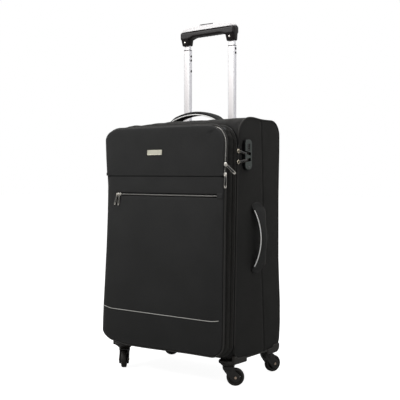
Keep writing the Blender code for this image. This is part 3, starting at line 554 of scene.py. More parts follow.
def corner_point(sx, sz, a, inset=0.0):
    """Point on a lid corner; a runs 0 at the side to 90 degrees at the top or bottom edge."""
    rx, rz, p = CORNER[sx, sz]
    rx, rz = rx - inset, rz - inset
    z_edge = (LID_TOP - inset) if sz > 0 else (LID_BOT + inset)
    cx, cz_ = sx * (LID_HALF - inset - rx), z_edge - sz * rz
    return cx + sx * rx * max(cos(a), 0.0) ** (2 / p), cz_ + sz * rz * max(sin(a), 0.0) ** (2 / p)


def lid_outline(inset=0.0, z0=None, z1=None, n=11):
    """Counter-clockwise outline of the lid seen from the front, cut at z0 or z1 when given."""
    h = LID_HALF - inset
    A = [k * (pi / 2) / n for k in range(n + 1)]
    pts = []
    if z0 is None:
        pts += [corner_point(-1, -1, a, inset) for a in A]
        pts += [corner_point(1, -1, a, inset) for a in reversed(A)]
    else:
        pts += [(-h, z0), (h, z0)]
    if z1 is None:
        pts += [corner_point(1, 1, a, inset) for a in A]
        pts += [corner_point(-1, 1, a, inset) for a in reversed(A)]
    else:
        pts += [(h, z1), (-h, z1)]
    out = []
    for q in pts:
        if not out or hypot(q[0] - out[-1][0], q[1] - out[-1][1]) > 1e-5:
            out.append(q)
    return out


R_FT, R_RT = 0.048, 0.041                      # softer cloth corners: top front, top rear


def side_outline(grow=0.0, front=0.0025, n=9):
    g = grow
    return fillet([(yz(ZB) + front - g, ZB - g), (YB + g, ZB - g), (YB + g, ZT + g), (yz(ZT) + front - g, ZT + g)],
                  [R_BOT + g, R_BOT + g, R_RT + g, R_FT + g], n)


def poly_distance(poly, P):
    """Distance from each point to a closed polyline (numpy)."""
    A = np.array(poly, float)
    B = np.roll(A, -1, axis=0)
    d = B - A
    L = (d ** 2).sum(1)
    best = np.full(len(P), 1e9)
    for a, dd, l in zip(A, d, L):
        if l < 1e-14:
            continue
        t = np.clip(((P - a) @ dd) / l, 0, 1)
        q = a + t[:, None] * dd
        best = np.minimum(best, np.hypot(*(P - q).T))
    return best


def inside(poly, P):
    A = np.array(poly, float)
    B = np.roll(A, -1, axis=0)
    res = np.zeros(len(P), bool)
    for (x0, y0), (x1, y1) in zip(A, B):
        c = ((y0 > P[:, 1]) != (y1 > P[:, 1]))
        xi = (x1 - x0) * (P[:, 1] - y0) / ((y1 - y0) if abs(y1 - y0) > 1e-12 else 1e-12) + x0
        res ^= c & (P[:, 0] < xi)
    return res


def sheet2d(outline, step, holes=(), lines=(), rows=(0.0016, 0.0038)):
    """Triangulated flat sheet: outline, inner rows that let an edge roll, seam lines and an even fill."""
    out = [tuple(p) for p in resample(outline, step)]
    pts, edges = [], []

    def loop(L, closed=True):
        o = len(pts)
        pts.extend(L)
        n = len(L)
        edges.extend((o + i, o + (i + 1) % n) for i in range(n if closed else n - 1))
    loop(out)
    for h in holes:
        loop([tuple(p) for p in resample(h, step)])
    for l in lines:
        loop([tuple(p) for p in resample(l, step, False)], False)
    fixed = np.array(pts, float)
    lo_, hi_ = np.array(out).min(0), np.array(out).max(0)
    cand = []
    # rows parallel to the rims
    for poly in [out] + [list(map(tuple, resample(h, step))) for h in holes]:
        A = np.array(poly, float)
        nx = np.roll(A, -1, 0) - np.roll(A, 1, 0)
        nx /= np.linalg.norm(nx, axis=1)[:, None] + 1e-12
        nrm = np.stack([-nx[:, 1], nx[:, 0]], 1)
        for r in rows:
            for sgn in (1, -1):
                cand.append((A + nrm * sgn * r, r))
    fill = []
    xs = np.arange(lo_[0] + step / 2, hi_[0], step)
    ys = np.arange(lo_[1] + step / 2, hi_[1], step * 0.87)
    for j, y in enumerate(ys):
        for x in xs:
            fill.append((x + (step / 2 if j % 2 else 0), y))
    fill = np.array(fill)
    keep_pts = []

    def usable(Q, gap):
        ok = inside(out, Q)
        for h in holes:
            ok &= ~inside(h, Q)
        d = poly_distance(out, Q)
        for h in holes:
            d = np.minimum(d, poly_distance(h, Q))
        return ok & (d > gap)
    for Q, r in cand:
        keep_pts.append(Q[usable(Q, r * 0.9)])
    big = max(rows) if rows else 0
    F_ = fill[usable(fill, big + step * 0.45)]
    for l in lines:
        L = np.array([tuple(p) for p in resample(l, step, False)])
        d = np.min(np.hypot(F_[:, None, 0] - L[None, :, 0], F_[:, None, 1] - L[None, :, 1]), axis=1)
        F_ = F_[d > step * 0.5]
    keep_pts.append(F_)
    allp = [tuple(p) for p in fixed] + [tuple(q) for Q in keep_pts for q in Q]
    v, e, f, *_ = delaunay_2d_cdt([Vector(p) for p in allp], edges, [], 0, 1e-6)
    V = np.array([tuple(p) for p in v])
    faces = [tuple(t) for t in f]
    C = np.array([V[list(t)].mean(0) for t in faces])
    ok = inside(out, C)
    for h in holes:
        ok &= ~inside(h, C)
    faces = [t for t, k in zip(faces, ok) if k]
    used = sorted({i for t in faces for i in t})
    remap = {i: j for j, i in enumerate(used)}
    return V[used], [tuple(remap[i] for i in t) for t in faces]


def cloth_bulge(ob, pinned, pressure, cap, frames=18, stiff=12.0, gravity=0.0):
    """Blows a pinned sheet with the cloth solver, then scales and caps how far it moved."""
    n = len(ob.data.vertices)
    rest = np.empty(n * 3)
    ob.data.vertices.foreach_get("co", rest)
    rest = rest.reshape(-1, 3)
    g = ob.vertex_groups.new(name="pin")
    g.add([int(i) for i in pinned], 1.0, "REPLACE")
    md = ob.modifiers.new("cloth", "CLOTH")
    s = md.settings
    s.quality = 4
    s.mass = 0.25
    s.tension_stiffness = s.compression_stiffness = stiff
    s.shear_stiffness = stiff * 0.5
    s.bending_stiffness = 0.6
    s.vertex_group_mass = "pin"
    s.use_pressure = True
    s.uniform_pressure_force = pressure
    s.effector_weights.gravity = gravity
    md.collision_settings.use_collision = False
    md.collision_settings.use_self_collision = False
    md.point_cache.frame_start, md.point_cache.frame_end = 1, frames
    sc = bpy.context.scene
    for fr in range(1, frames + 1):
        sc.frame_set(fr)
    deps = bpy.context.evaluated_depsgraph_get()
    ev = ob.evaluated_get(deps)
    now = np.empty(n * 3)
    ev.data.vertices.foreach_get("co", now)
    now = now.reshape(-1, 3)
    ob.modifiers.clear()
    ob.vertex_groups.clear()
    d = now - rest
    L = np.linalg.norm(d, axis=1)
    top = L.max()
    if not np.isfinite(top) or top < 1e-6:
        sc.frame_set(1)
        return ob
    scale = min(1.0, cap / top)
    new = rest + d * scale
    ob.data.vertices.foreach_set("co", new.ravel())
    ob.data.update()
    sc.frame_set(1)
    return ob


def smoothstep(a, b, x):
    t = np.clip((x - a) / (b - a), 0, 1)
    return t * t * (3 - 2 * t)


def ripple(P, amp, scale, seed):
    """Smooth pseudo-random height field from a few sines, so cloth is never dead flat."""
    rng = np.random.RandomState(seed)
    out = np.zeros(len(P))
    for _ in range(7):
        k = rng.normal(size=P.shape[1]) * scale
        out += np.sin(P @ k + rng.uniform(0, 6.28)) * rng.uniform(0.4, 1.0)
    return out * amp / 3.0


def soft_sheet(name, V2, faces, to3d, depth, out_dir, mat, body, pressure, cap, pin_depth, thickness=0.0016, replaces=(), dist=None, keep_open=False):
    """A sewn cloth sheet: laid out flat, lifted to shape, blown by cloth, then given its thickness."""
    P3 = to3d(V2, depth)
    me = bpy.data.meshes.new(name)
    me.from_pydata([tuple(p) for p in P3], [], faces)
    ob = bpy.data.objects.new(name, me)
    bpy.context.scene.collection.objects.link(ob)
    # all faces look along out_dir
    bm = bmesh.new()
    bm.from_mesh(me)
    tot = sum((f.normal * f.calc_area() for f in bm.faces), Vector())
    if tot.dot(Vector(out_dir)) < 0:
        bmesh.ops.reverse_faces(bm, faces=bm.faces)
    bm.to_mesh(me)
    bm.free()
    pinned = np.nonzero(dist < pin_depth)[0]
    cloth_bulge(ob, pinned, pressure, cap)
    if thickness:
        sm = ob.modifiers.new("thickness", "SOLIDIFY")
        sm.thickness, sm.offset = thickness, -1.0
        sm.use_even_offset = False
        modifier_apply(ob)
    return finish_piece(ob, mat, body, replaces, soft=True)


# =============================================================== lid: front panels
def front3d(V2, t):
    y = t + np.array([yz(z) for z in V2[:, 1]])
    return np.stack([V2[:, 0], y, V2[:, 1]], 1)


def rolled(d, base, face, roll):
    """Depth of a sewn panel: pinched to base at its edge, face beyond roll."""
    k = np.clip(d / roll, 0, 1)
    return base + (face - base) * np.sqrt(1 - (1 - k) ** 2)


# lower pocket panel with the slit for its zip
SLIT = [(-0.1640, SLIT_Z - 0.0046), (0.1890, SLIT_Z - 0.0046), (0.1890, SLIT_Z + 0.0046), (-0.1640, SLIT_Z + 0.0046)]
SLIT = fillet(SLIT, [0.0018] * 4, 2)
out_low = lid_outline(0.0026, None, SEAM_Z - 0.0004)
V2, F2 = sheet2d(out_low, 0.0062, holes=[SLIT])
d_out, d_slit = poly_distance(out_low, V2), poly_distance(SLIT, V2)
t = rolled(d_out, -0.0446, -0.0496, 0.0060)
pinch = np.exp(-(d_slit / 0.0035) ** 2) * 0.0014
t = t + pinch
# the light line sewn low on the front pulls the cloth in a little
line_z = 0.1768
edge_lift = smoothstep(0.165, 0.205, np.abs(V2[:, 0])) * 0.006
dl = np.abs(V2[:, 1] - (line_z + edge_lift))
t = t + np.exp(-(dl / 0.0022) ** 2) * 0.0009
at_seam = smoothstep(SEAM_Z - 0.014, SEAM_Z - 0.006, V2[:, 1]) * (1 - smoothstep(0.190, 0.205, np.abs(V2[:, 0])))
t = t * (1 - at_seam) + rolled(d_out, -0.0488, -0.0498, 0.0022) * at_seam
t = t + ripple(V2, 0.00045, 14.0, 3) * smoothstep(0.0, 0.03, d_out)
soft_sheet("lower_pocket_cloth", V2, F2, front3d, t, (0, -1, 0), "lower", "lid", 3.0, 0.0024, 0.0030,
           replaces=("lower_pocket_panel",), dist=np.minimum(d_out, d_slit))

# upper pocket flap
out_flap = lid_outline(0.0036, SEAM_Z + 0.0002)
CREASE = [(0.1520, 0.6585), (0.1640, 0.6632), (0.1765, 0.6664)]
side_ = [(a + 0.0008 * k, b - 0.0021 * k) for k in (1, -1) for a, b in CREASE]
V2, F2 = sheet2d(out_flap, 0.0058, lines=[CREASE, side_[:3], side_[3:]])
d = poly_distance(out_flap, V2)
near = 1 - smoothstep(0.0, 0.030, d)
V2[:, 1] += 0.0030 * near * smoothstep(0.640, 0.668, V2[:, 1]) * (1 - smoothstep(0.150, 0.190, V2[:, 0]))
V2[:, 0] -= 0.0024 * near * smoothstep(0.160, 0.190, -V2[:, 0])
t = rolled(d, -0.0482, -0.0530, 0.0050)
bottom = V2[:, 1] < SEAM_Z + 0.010
t = np.where(bottom, np.minimum(t, rolled(V2[:, 1] - SEAM_Z, -0.0516, -0.0528, 0.0024)), t)
# short crease near the upper right corner and a shallow one at the left
for (x0, z0), (x1, z1), a, w in (((0.152, 0.6585), (0.1765, 0.6664), 0.0034, 0.0015), ((0.140, 0.6540), (0.184, 0.6690), -0.0009, 0.0070), ((-0.176, 0.6590), (-0.160, 0.6640), 0.0008, 0.0035)):
    A, B = np.array((x0, z0)), np.array((x1, z1))
    s = np.clip(((V2 - A) @ (B - A)) / ((B - A) @ (B - A)), 0, 1)
    q = A + s[:, None] * (B - A)
    if a > 0.002:
        tuck = np.hypot(*(V2 - q).T)
    t = t + np.exp(-(np.hypot(*(V2 - q).T) / w) ** 2) * a * np.sin(pi * np.clip(s, 0.05, 0.95))
t = t + ripple(V2, 0.0005, 16.0, 11) * smoothstep(0.0, 0.03, d)
# the badge is riveted through the cloth, so the cloth is held down round it
b_lo, b_hi = (v - Vector((SX, SY, 0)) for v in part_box("badge_plate"))
off = np.hypot(np.maximum(0, np.maximum(b_lo.x - V2[:, 0], V2[:, 0] - b_hi.x)), np.maximum(0, np.maximum(b_lo.z - V2[:, 1], V2[:, 1] - b_hi.z)))
badge_t = b_lo.y - yz(b_lo.z)
hold = 1 - smoothstep(0.002, 0.016, off)
t = t + (np.maximum(t, badge_t + 0.0016) - t) * hold
soft_sheet("upper_flap_cloth", V2, F2, front3d, t, (0, -1, 0), "front", "flap", 3.0, 0.0026, 0.0030,
           thickness=0.0040, replaces=("upper_pocket_flap",), dist=np.minimum(np.minimum(d, off + 0.0006), tuck + 0.0003))

ins_ = 0.0011
rim_pts = [(b_lo.x + ins_, b_lo.z + ins_), (b_hi.x - ins_, b_lo.z + ins_), (b_hi.x - ins_, b_hi.z - ins_), (b_lo.x + ins_, b_hi.z - ins_)]
BADGE_RIM = [Vector((a, b_lo.y + LEAN * (b - b_lo.z) - 0.0001, b)) for a, b in fillet(rim_pts, [0.0010] * 4, 4)]
# =============================================================== lid: gusset ring
def ring_normals(pts):
    P = [Vector(p) for p in pts]
    n = len(P)
    out = []
    for i in range(n):
        tdir = (P[(i + 1) % n] - P[i - 1]).normalized()
        out.append(Vector((tdir.y, -tdir.x)))
    return P, out


def slack(p, t_):
    """Loose cloth round the corners: soft folds running across the band."""
    near = max(0.0, 1 - hypot((abs(p.x) - 0.185) / 0.060, (p.y - (0.655 if p.y > 0.38 else 0.100)) / 0.075))
    if near <= 0:
        return 0.00035 * sin(p.y * 47 + t_ * 160) * sin(p.x * 31 + 1.3)
    a = atan2(p.y - 0.632, abs(p.x) - 0.162)
    fold = sin(a * 13 + t_ * 95) + 0.6 * sin(a * 21 - t_ * 150 + 1.0)
    return 0.0011 * near ** 0.6 * fold


def sweep_ring(outline, profile, lean=True):
    """Sweeps a closed profile of (outward, t) round the lid outline."""
    P, N = ring_normals(outline)
    V, F = [], []
    k, n = len(profile), len(P)
    for p, nn in zip(P, N):
        for o, t_ in profile:
            if o > 0.0001 and -0.040 < t_ < -0.005:
                o = o + slack(p, t_)
            q = p + nn * o
            V.append(Vector((q.x, t_ + yz(q.y), q.y)))
    for i in range(n):
        for j in range(k):
            a, b = i * k + j, i * k + (j + 1) % k
            c, e = ((i + 1) % n) * k + (j + 1) % k, ((i + 1) % n) * k + j
            F.append((a, b, c, e))
    return V, F


ring = [tuple(p) for p in resample(lid_outline(0.0012), 0.0045)]
# binding, stitched row, wide cloth band, seam, narrow band
prof = [(-0.0004, -0.0432), (0.0006, -0.0420), (0.0008, -0.0400), (-0.0002, -0.0388), (-0.0004, -0.0378), (0.0004, -0.0366)]
for i in range(1, 8):
    s = i / 8
    prof.append((0.0004 + 0.0018 * sin(pi * s) ** 0.7, -0.0366 + 0.0190 * s))
prof += [(-0.0004, -0.0172), (-0.0012, -0.0166), (-0.0004, -0.0160)]
for i in range(1, 5):
    s = i / 5
    prof.append((-0.0002 + 0.0014 * sin(pi * s) ** 0.7, -0.0160 + 0.0110 * s))
prof += [(-0.0004, -0.0046), (-0.0030, -0.0034), (-0.0036, -0.0200), (-0.0036, -0.0430)]
V, F = sweep_ring(ring, prof)
ob = add("lid_gusset_cloth", V, F, "gusset", "lid", slot="gusset_fabric", replaces=("lid_gusset",), soft=True)


def ring_path(inset, t_, z0=None, z1=None, closed=True, step=0.006, start=None):
    pts = [tuple(p) for p in resample(lid_outline(inset, z0, z1), step)]
    return [Vector((x, t_ + yz(z), z)) for x, z in pts]


def open_path(pts, keep):
    """The run of a closed path for which keep(point) holds, in order."""
    n = len(pts)
    flags = [keep(p) for p in pts]
    start = next(i for i in range(n) if flags[i] and not flags[i - 1])
    out = []
    i = start
    while flags[i % n] and len(out) < n:
        out.append(pts[i % n])
        i += 1
    return out


full = ring_path(0.0002, -0.0440, step=0.005)
pipe("lid_front_piping", full, 0.0022, "piping", "lid", closed=True, k=12, soft=True)
pipe("lid_rear_piping", ring_path(0.0004, -0.0044, step=0.005), 0.0017, "piping", "lid", closed=True, k=8, soft=True)

# expander-style sewn tape on the gusset: a fine corded row
V, F = [], []
row = resample(lid_outline(0.0012), 0.0042)
parts = []
for i, p in enumerate(row):
    q = Vector((p.x, -0.0383 + yz(p.y), p.y))
    nx = row[(i + 1) % len(row)]
    d_ = Vector((nx.x - p.x, 0, nx.y - p.y)).normalized()
    a, b = q - d_ * 0.0013, q + d_ * 0.0013
    parts.append(pipe_geo([a, b], 0.00042, k=5))
V, F = join_geo(parts)
add("gusset_stitching", V, F, "thread", "lid", soft=True)


pipe("badge_rim", BADGE_RIM, 0.00038, "badge", "flap", closed=True, k=8)

# =============================================================== zips
def zip_teeth(pts, across, width=0.0034, pitch=0.00155, r=0.00052, closed=False):
    """Interlocked coil: short rounded bars laid alternately across the path."""
    P = resample(pts, pitch, closed)
    n = len(P)
    parts = []
    for i in range(n):
        a = P[i - 1] if (i > 0 or closed) else P[i]
        b = P[(i + 1) % n] if (i < n - 1 or closed) else P[i]
        T = (b - a).normalized()
        A = across(P[i])
        A = (A - T * A.dot(T)).normalized()
        side = 1 if i % 2 else -1
        c = P[i] + A * (0.00035 * side)
        tilt = T * (0.00030 * side)
        parts.append(pipe_geo([c - A * (width / 2) - tilt, c - A * (width / 2 - 0.0004), c + A * (width / 2 - 0.0004), c + A * (width / 2) + tilt], r, k=5))
    return join_geo(parts)


def tape_geo(pts, across, w, thick, off=0.0):
    """Flat woven tape along a path; across gives its width direction."""
    n = len(pts)
    V, F = [], []
    for i, p in enumerate(pts):
        a = pts[i - 1] if i > 0 else p
        b = pts[i + 1] if i < n - 1 else p
        T = (Vector(b) - Vector(a)).normalized()
        A = across(p)
        A = (A - T * A.dot(T)).normalized()
        N = A.cross(T)
        c = Vector(p) + N * off
        for u, v in ((-w / 2, -thick / 2), (w / 2, -thick / 2), (w / 2, thick / 2), (-w / 2, thick / 2)):
            V.append(c + A * u + N * v)
    for i in range(n - 1):
        for j in range(4):
            F.append((i * 4 + j, i * 4 + (j + 1) % 4, (i + 1) * 4 + (j + 1) % 4, (i + 1) * 4 + j))
    F += [(3, 2, 1, 0), tuple((n - 1) * 4 + j for j in range(4))]
    return V, F


Y = Vector((0, 1, 0))
Zv = Vector((0, LEAN, 1)).normalized()
# front slit zip: tape in the slit, silver coil, tape tab at the right end
slit_pts = [Vector((x, yz(SLIT_Z) - 0.0462, SLIT_Z)) for x in (-0.1625, 0.1870)]
V, F = zip_teeth(slit_pts, lambda p: Zv, width=0.0028)
add("slit_zip_coil", V, F, "coil_fine", "lid", slot="pocket_zip", replaces=("front_zip_chain",), soft=True)
tp = resample([Vector((-0.1650, yz(SLIT_Z) - 0.0443, SLIT_Z)), Vector((0.1890, yz(SLIT_Z) - 0.0443, SLIT_Z))], 0.02, False)
V, F = tape_geo(tp, lambda p: Zv, 0.0110, 0.0008)
add("slit_zip_tape", V, F, "tape", "lid", soft=True)
x0, x1 = 0.1860, 0.2060
V, F = [], []
tabz = 0.0068
nx_, nz_ = 12, 8
grid = {}
for side_ in (0, 1):
    for i in range(nx_ + 1):
        for j in range(nz_ + 1):
            u_, w_ = i / nx_, j / nz_
            rim = min(u_, 1 - u_, w_, 1 - w_)
            puff = 0.0012 * min(1, rim * 6) ** 0.5
            x = x0 + (x1 - x0) * u_
            z = SLIT_Z - tabz + 2 * tabz * w_
            V.append(Vector((x, yz(z) - 0.0500 - (puff if side_ == 0 else -0.0006), z)))
            grid[side_, i, j] = len(V) - 1
for side_ in (0, 1):
    for i in range(nx_):
        for j in range(nz_):
            F.append((grid[side_, i, j], grid[side_, i + 1, j], grid[side_, i + 1, j + 1], grid[side_, i, j + 1]))
for i in range(nx_):
    F.append((grid[0, i, 0], grid[1, i, 0], grid[1, i + 1, 0], grid[0, i + 1, 0]))
    F.append((grid[0, i, nz_], grid[0, i + 1, nz_], grid[1, i + 1, nz_], grid[1, i, nz_]))
for j in range(nz_):
    F.append((grid[0, 0, j], grid[0, 0, j + 1], grid[1, 0, j + 1], grid[1, 0, j]))
    F.append((grid[0, nx_, j], grid[1, nx_, j], grid[1, nx_, j + 1], grid[0, nx_, j + 1]))
add("slit_zip_garage", V, F, "lower", "lid", soft=True)

# perimeter zip of the upper pocket
zp = open_path(ring_path(0.0016, -0.0468, SEAM_Z + 0.0015, step=0.0016), lambda p: p.z > SEAM_Z + 0.0022)
zp = [Vector((p.x + 0.0022 * l_, p.y + 0.0006 * max(w_, l_), p.z - 0.0018 * w_)) for p in zp for w_ in (float(smoothstep(0.668, 0.680, p.z)),) for l_ in (float(smoothstep(0.15, 0.19, -p.x)),)]
diag = lambda p: Vector((-p.x * 0.0 - (1 if p.x > 0 else -1) * 0.6, -1.0, 0.0)) if LID_TOP - abs(p.z) > 0.02 else Vector((0, -1.0, -0.6))
V, F = zip_teeth(zp, diag, width=0.0032, pitch=0.0015, r=0.00060)
add("upper_zip_coil", V, F, "coil", "lid", slot="pocket_zip", replaces=("upper_zip_chain",), soft=True)

# main zip
MZ = open_path(ring_path(0.0016, 0.0, step=0.003), lambda p: not (p.x < -0.2 and 0.150 < p.z < 0.600))
V, F = zip_teeth(MZ, lambda p: Y, width=0.0040, pitch=0.0022, r=0.0008)
add("main_zip_coil", V, F, "coil_black", "case", slot="main_zip", replaces=("main_zip_chain",), soft=True)
V, F = tape_geo(MZ, lambda p: Y, 0.0052, 0.0006, off=0.0)
# the tape lies just inside the coil
ctr = Vector((0, 0, 0.38))
V = [Vector((v.x - 0.0014 * (1 if v.x > 0 else -1) * (abs(v.x) > 0.16), v.y, v.z - 0.0014 * (1 if v.z > 0.38 else -1) * (v.z > 0.64 or v.z < 0.11))) for v in V]
add("main_zip_tape", V, F, "tape", "case", soft=True)

# hinge strip of cloth down the left side
strip = [Vector((-LID_HALF - 0.0002, yz(z), z)) for z in np.linspace(0.118, 0.636, 60)]
V, F = [], []
rows_ = np.linspace(-0.0140, 0.0170, 13)
for p in strip:
    e_ = max(0.0, min(p.z - 0.118, 0.636 - p.z)) / 0.020
    fit = 0.35 + 0.65 * sqrt(max(0.0, 1 - (1 - min(1.0, e_)) ** 2))
    for dy in rows_:
        out_ = 0.0009 + (0.0009 + 0.0009 * (1 - (dy / 0.02) ** 2)) * fit
        V.append(Vector((-HALF - out_, p.y + 0.0015 + (dy - 0.0015) * fit, p.z)))
k = len(rows_)
for i in range(len(strip) - 1):
    for j in range(k - 1):
        F.append((i * k + j, i * k + j + 1, (i + 1) * k + j + 1, (i + 1) * k + j))
hinge_strip = add("lid_hinge_cloth", V, F, "gusset", None, slot="gusset_fabric", closed=False, soft=True)
sm = hinge_strip.modifiers.new("t", "SOLIDIFY")
sm.thickness, sm.offset = 0.0010, 0.0
modifier_apply(hinge_strip)
hinge_strip.data.shade_smooth()

# light piping line low on the front
pts = []
for x in np.linspace(-0.2040, 0.1985, 90):
    lift = 0.006 * (max(0, abs(x) - 0.165) / 0.040) ** 2
    z = line_z + lift
    pts.append(Vector((x, yz(z) - 0.0508 - 0.0009 * cos(pi * x / 0.44), z)))
pipe("front_light_piping", pts, 0.00078, "silver_front", "lid", k=8, soft=True)

# =============================================================== shell
# front band: from the zip line to the body, round all four corners
front_loop, rear_loop = [], []
y_arc = yz(ZT) + 0.0025 + R_FT                # where the top surface starts
y_arc_b = yz(ZB) + 0.0025 + R_BOT


def band_pair(kind, s, sx=1):
    """Point on the zip line and its partner on the body; s runs 0..1 along each stretch."""
    e = HALF - 0.0006
    rt, rb = CORNER[sx, 1], CORNER[sx, -1]
    if kind == "side":
        z = (LID_BOT + rb[1]) + s * (LID_TOP - rt[1] - LID_BOT - rb[1])
        za, zb_ = ZB + R_BOT, ZT - R_FT
        zr = min(max(z, za), zb_)
        return Vector((sx * LID_HALF, yz(z) + 0.0008, z)), Vector((sx * e, yz(zr) + 0.0036, zr))
    if kind == "top_corner":
        x, z = corner_point(sx, 1, s * pi / 2)
        f = Vector((x, yz(z) + 0.0008, z))
        z0_ = min(LID_TOP - rt[1], ZT - R_FT)
        if s < 0.66:
            b = (s / 0.66) * pi / 2
            r = Vector((sx * e, y_arc - (R_FT - 0.0011) * cos(b), ZT - R_FT + (R_FT - 0.0011) * sin(b)))
            r.z = max(r.z, z0_)
        else:
            q = (s - 0.66) / 0.34
            r = Vector((sx * (e - (e - LID_HALF + rt[0]) * q), y_arc, ZT - 0.0011 + 0.0011 * q))
        return f, r
    if kind == "top":
        xa, xb = LID_HALF - CORNER[1, 1][0], -(LID_HALF - CORNER[-1, 1][0])
        x = xa + (xb - xa) * s
        return Vector((x, yz(LID_TOP) + 0.0008, LID_TOP)), Vector((x, y_arc, ZT))
    if kind == "bottom_corner":
        x, z = corner_point(sx, -1, (1 - s) * pi / 2)
        f = Vector((x, yz(z) + 0.0008, z))
        if s > 0.35:
            b = (1 - s) / 0.65 * pi / 2
            r = Vector((sx * e, y_arc_b - R_BOT * cos(b), ZB + R_BOT - R_BOT * sin(b)))
        else:
            q = 1 - s / 0.35
            r = Vector((sx * (e - (e - LID_HALF + rb[0]) * q), y_arc_b, ZB))
        return f, r
    xa, xb = -(LID_HALF - CORNER[-1, -1][0]), LID_HALF - CORNER[1, -1][0]
    x = xa + (xb - xa) * s
    return Vector((x, yz(LID_BOT) + 0.0008, LID_BOT)), Vector((x, y_arc_b, ZB))


pairs = []
pairs += [band_pair("bottom_corner", s, 1) for s in np.linspace(0, 1, 17)[:-1]]
pairs += [band_pair("side", s, 1) for s in np.linspace(0, 1, 70)[:-1]]
pairs += [band_pair("top_corner", s, 1) for s in np.linspace(0, 1, 25)[:-1]]
pairs += [band_pair("top", s) for s in np.linspace(0, 1, 50)[:-1]]
pairs += [band_pair("top_corner", s, -1) for s in np.linspace(1, 0, 25)[:-1]]
pairs += [band_pair("side", s, -1) for s in np.linspace(1, 0, 70)[:-1]]
pairs += [band_pair("bottom_corner", s, -1) for s in np.linspace(1, 0, 17)[:-1]]
pairs += [band_pair("bottom", s) for s in np.linspace(0, 1, 40)[:-1]]
V, F = [], []
K = 9
n = len(pairs)
cz = 0.5 * (LID_TOP + LID_BOT)
for i, (f, r) in enumerate(pairs):
    fa, fb = pairs[i - 1][0], pairs[(i + 1) % n][0]
    tdir = (fb - fa)
    outw = Vector((tdir.z, 0, -tdir.x))
    outw.normalize()
    if outw.dot(Vector((f.x, 0, f.z - cz))) < 0:
        outw = -outw
    L = (r - f).length
    ctrl = f + outw * (0.40 * L) + Vector((0, 0.10 * L, 0))
    if L < 0.006:
        ctrl = (f + r) / 2 + outw * 0.0004
    fold = max(0.0, min(1.0, (L - 0.012) / 0.03)) * 0.0007 * (sin(i * 0.61) + 0.7 * sin(i * 1.13 + 1))
    for j in range(K):
        v = j / (K - 1)
        V.append(f * (1 - v) ** 2 + ctrl * (2 * v * (1 - v)) + r * v ** 2 + outw * (fold * sin(pi * v)))
for i in range(n):
    for j in range(K - 1):
        F.append((i * K + j, ((i + 1) % n) * K + j, ((i + 1) % n) * K + j + 1, i * K + j + 1))
band = add("shell_front_band", V, F, "side", None, slot="shell_fabric", closed=False, soft=True)


def outward_solid(ob, thickness, centre):
    """Makes an open skin face away from centre, then thickens it inwards."""
    bm = bmesh.new()
    bm.from_mesh(ob.data)
    bmesh.ops.recalc_face_normals(bm, faces=bm.faces)
    score = sum((f.calc_center_median() - Vector(centre)).dot(f.normal) * f.calc_area() for f in bm.faces)
    if score < 0:
        bmesh.ops.reverse_faces(bm, faces=bm.faces)
    bm.to_mesh(ob.data)
    bm.free()
    sm_ = ob.modifiers.new("t", "SOLIDIFY")
    sm_.thickness, sm_.offset = thickness, -1.0
    modifier_apply(ob)
    ob.data.shade_smooth()
    return ob


outward_solid(band, 0.0012, (SX, SY, 0.38))
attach(band, "case")

# wrap: top, back and underside as one cloth with a soft crown across its width
arc_top = [(y_arc, ZT)] + [(YB - R_RT + R_RT * sin(a), ZT - R_RT + R_RT * cos(a)) for a in np.linspace(0, pi / 2, 12)]
arc_bot = [(YB - R_BOT + R_BOT * cos(a), ZB + R_BOT - R_BOT * sin(a)) for a in np.linspace(0, pi / 2, 10)] + [(y_arc_b, ZB)]
spine = resample([Vector(p) for p in arc_top + arc_bot], 0.0085, False)
xs = sorted(set(list(np.round(np.linspace(-0.2095, 0.2095, 48), 5)) + [-0.2070, 0.2070]))
V, F = [], []
m_ = len(xs)
slot_r = [(sx * TUBE_X, TUBE_Y) for sx in (-1, 1)]
for i, p in enumerate(spine):
    a = spine[max(0, i - 1)]
    b = spine[min(len(spine) - 1, i + 1)]
    tdir = (b - a).normalized()
    nn = Vector((-tdir.y, tdir.x))
    if nn.dot(Vector((p.x - 0.0, p.y - 0.385))) < 0:
        nn = -nn
    for x in xs:
        e = 1 - abs(x) / 0.2095
        crown = 0.0016 * (1 - exp(-e * 14)) - 0.0016
        wob = 0.0004 * sin(x * 31 + p.y * 9) * sin(p.y * 17 + p.x * 40)
        V.append(Vector((x, p.x + nn.x * (crown + wob), p.y + nn.y * (crown + wob))))
for i in range(len(spine) - 1):
    for j in range(m_ - 1):
        F.append((i * m_ + j, i * m_ + j + 1, (i + 1) * m_ + j + 1, (i + 1) * m_ + j))
wrap = add("shell_wrap_cloth", V, F, "side", None, slot="shell_fabric", replaces=("wrap_panel",), closed=False, soft=True)
outward_solid(wrap, 0.0030, (SX, SY, 0.38))
# openings for the fixed trolley tubes
for sx in (-1, 1):
    bpy.ops.mesh.primitive_cube_add(size=1, location=(sx * TUBE_X + SX, TUBE_Y + SY, 0.70))
    c = bpy.context.object
    c.scale = (0.0286, 0.0178, 0.06)
    bo = wrap.modifiers.new("slot", "BOOLEAN")
    bo.object, bo.operation = c, "DIFFERENCE"
    modifier_apply(wrap)
    bpy.data.objects.remove(c, do_unlink=True)
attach(wrap, "case")


# side panels
def side3d_factory(sgn):
    def f(V2_, h):
        return np.stack([sgn * (HALF + h), V2_[:, 0], V2_[:, 1]], 1)
    return f


def seam_curve(z):
    """Vertical seam of the side panel: bows rearward in the middle and at the foot."""
    zs = [0.070, 0.0755, 0.290, 0.485, 0.686, 0.700]
    ys_ = [0.030, 0.030, 0.0170, 0.0225, 0.0135, 0.0130]
    return float(np.interp(z, zs, ys_))


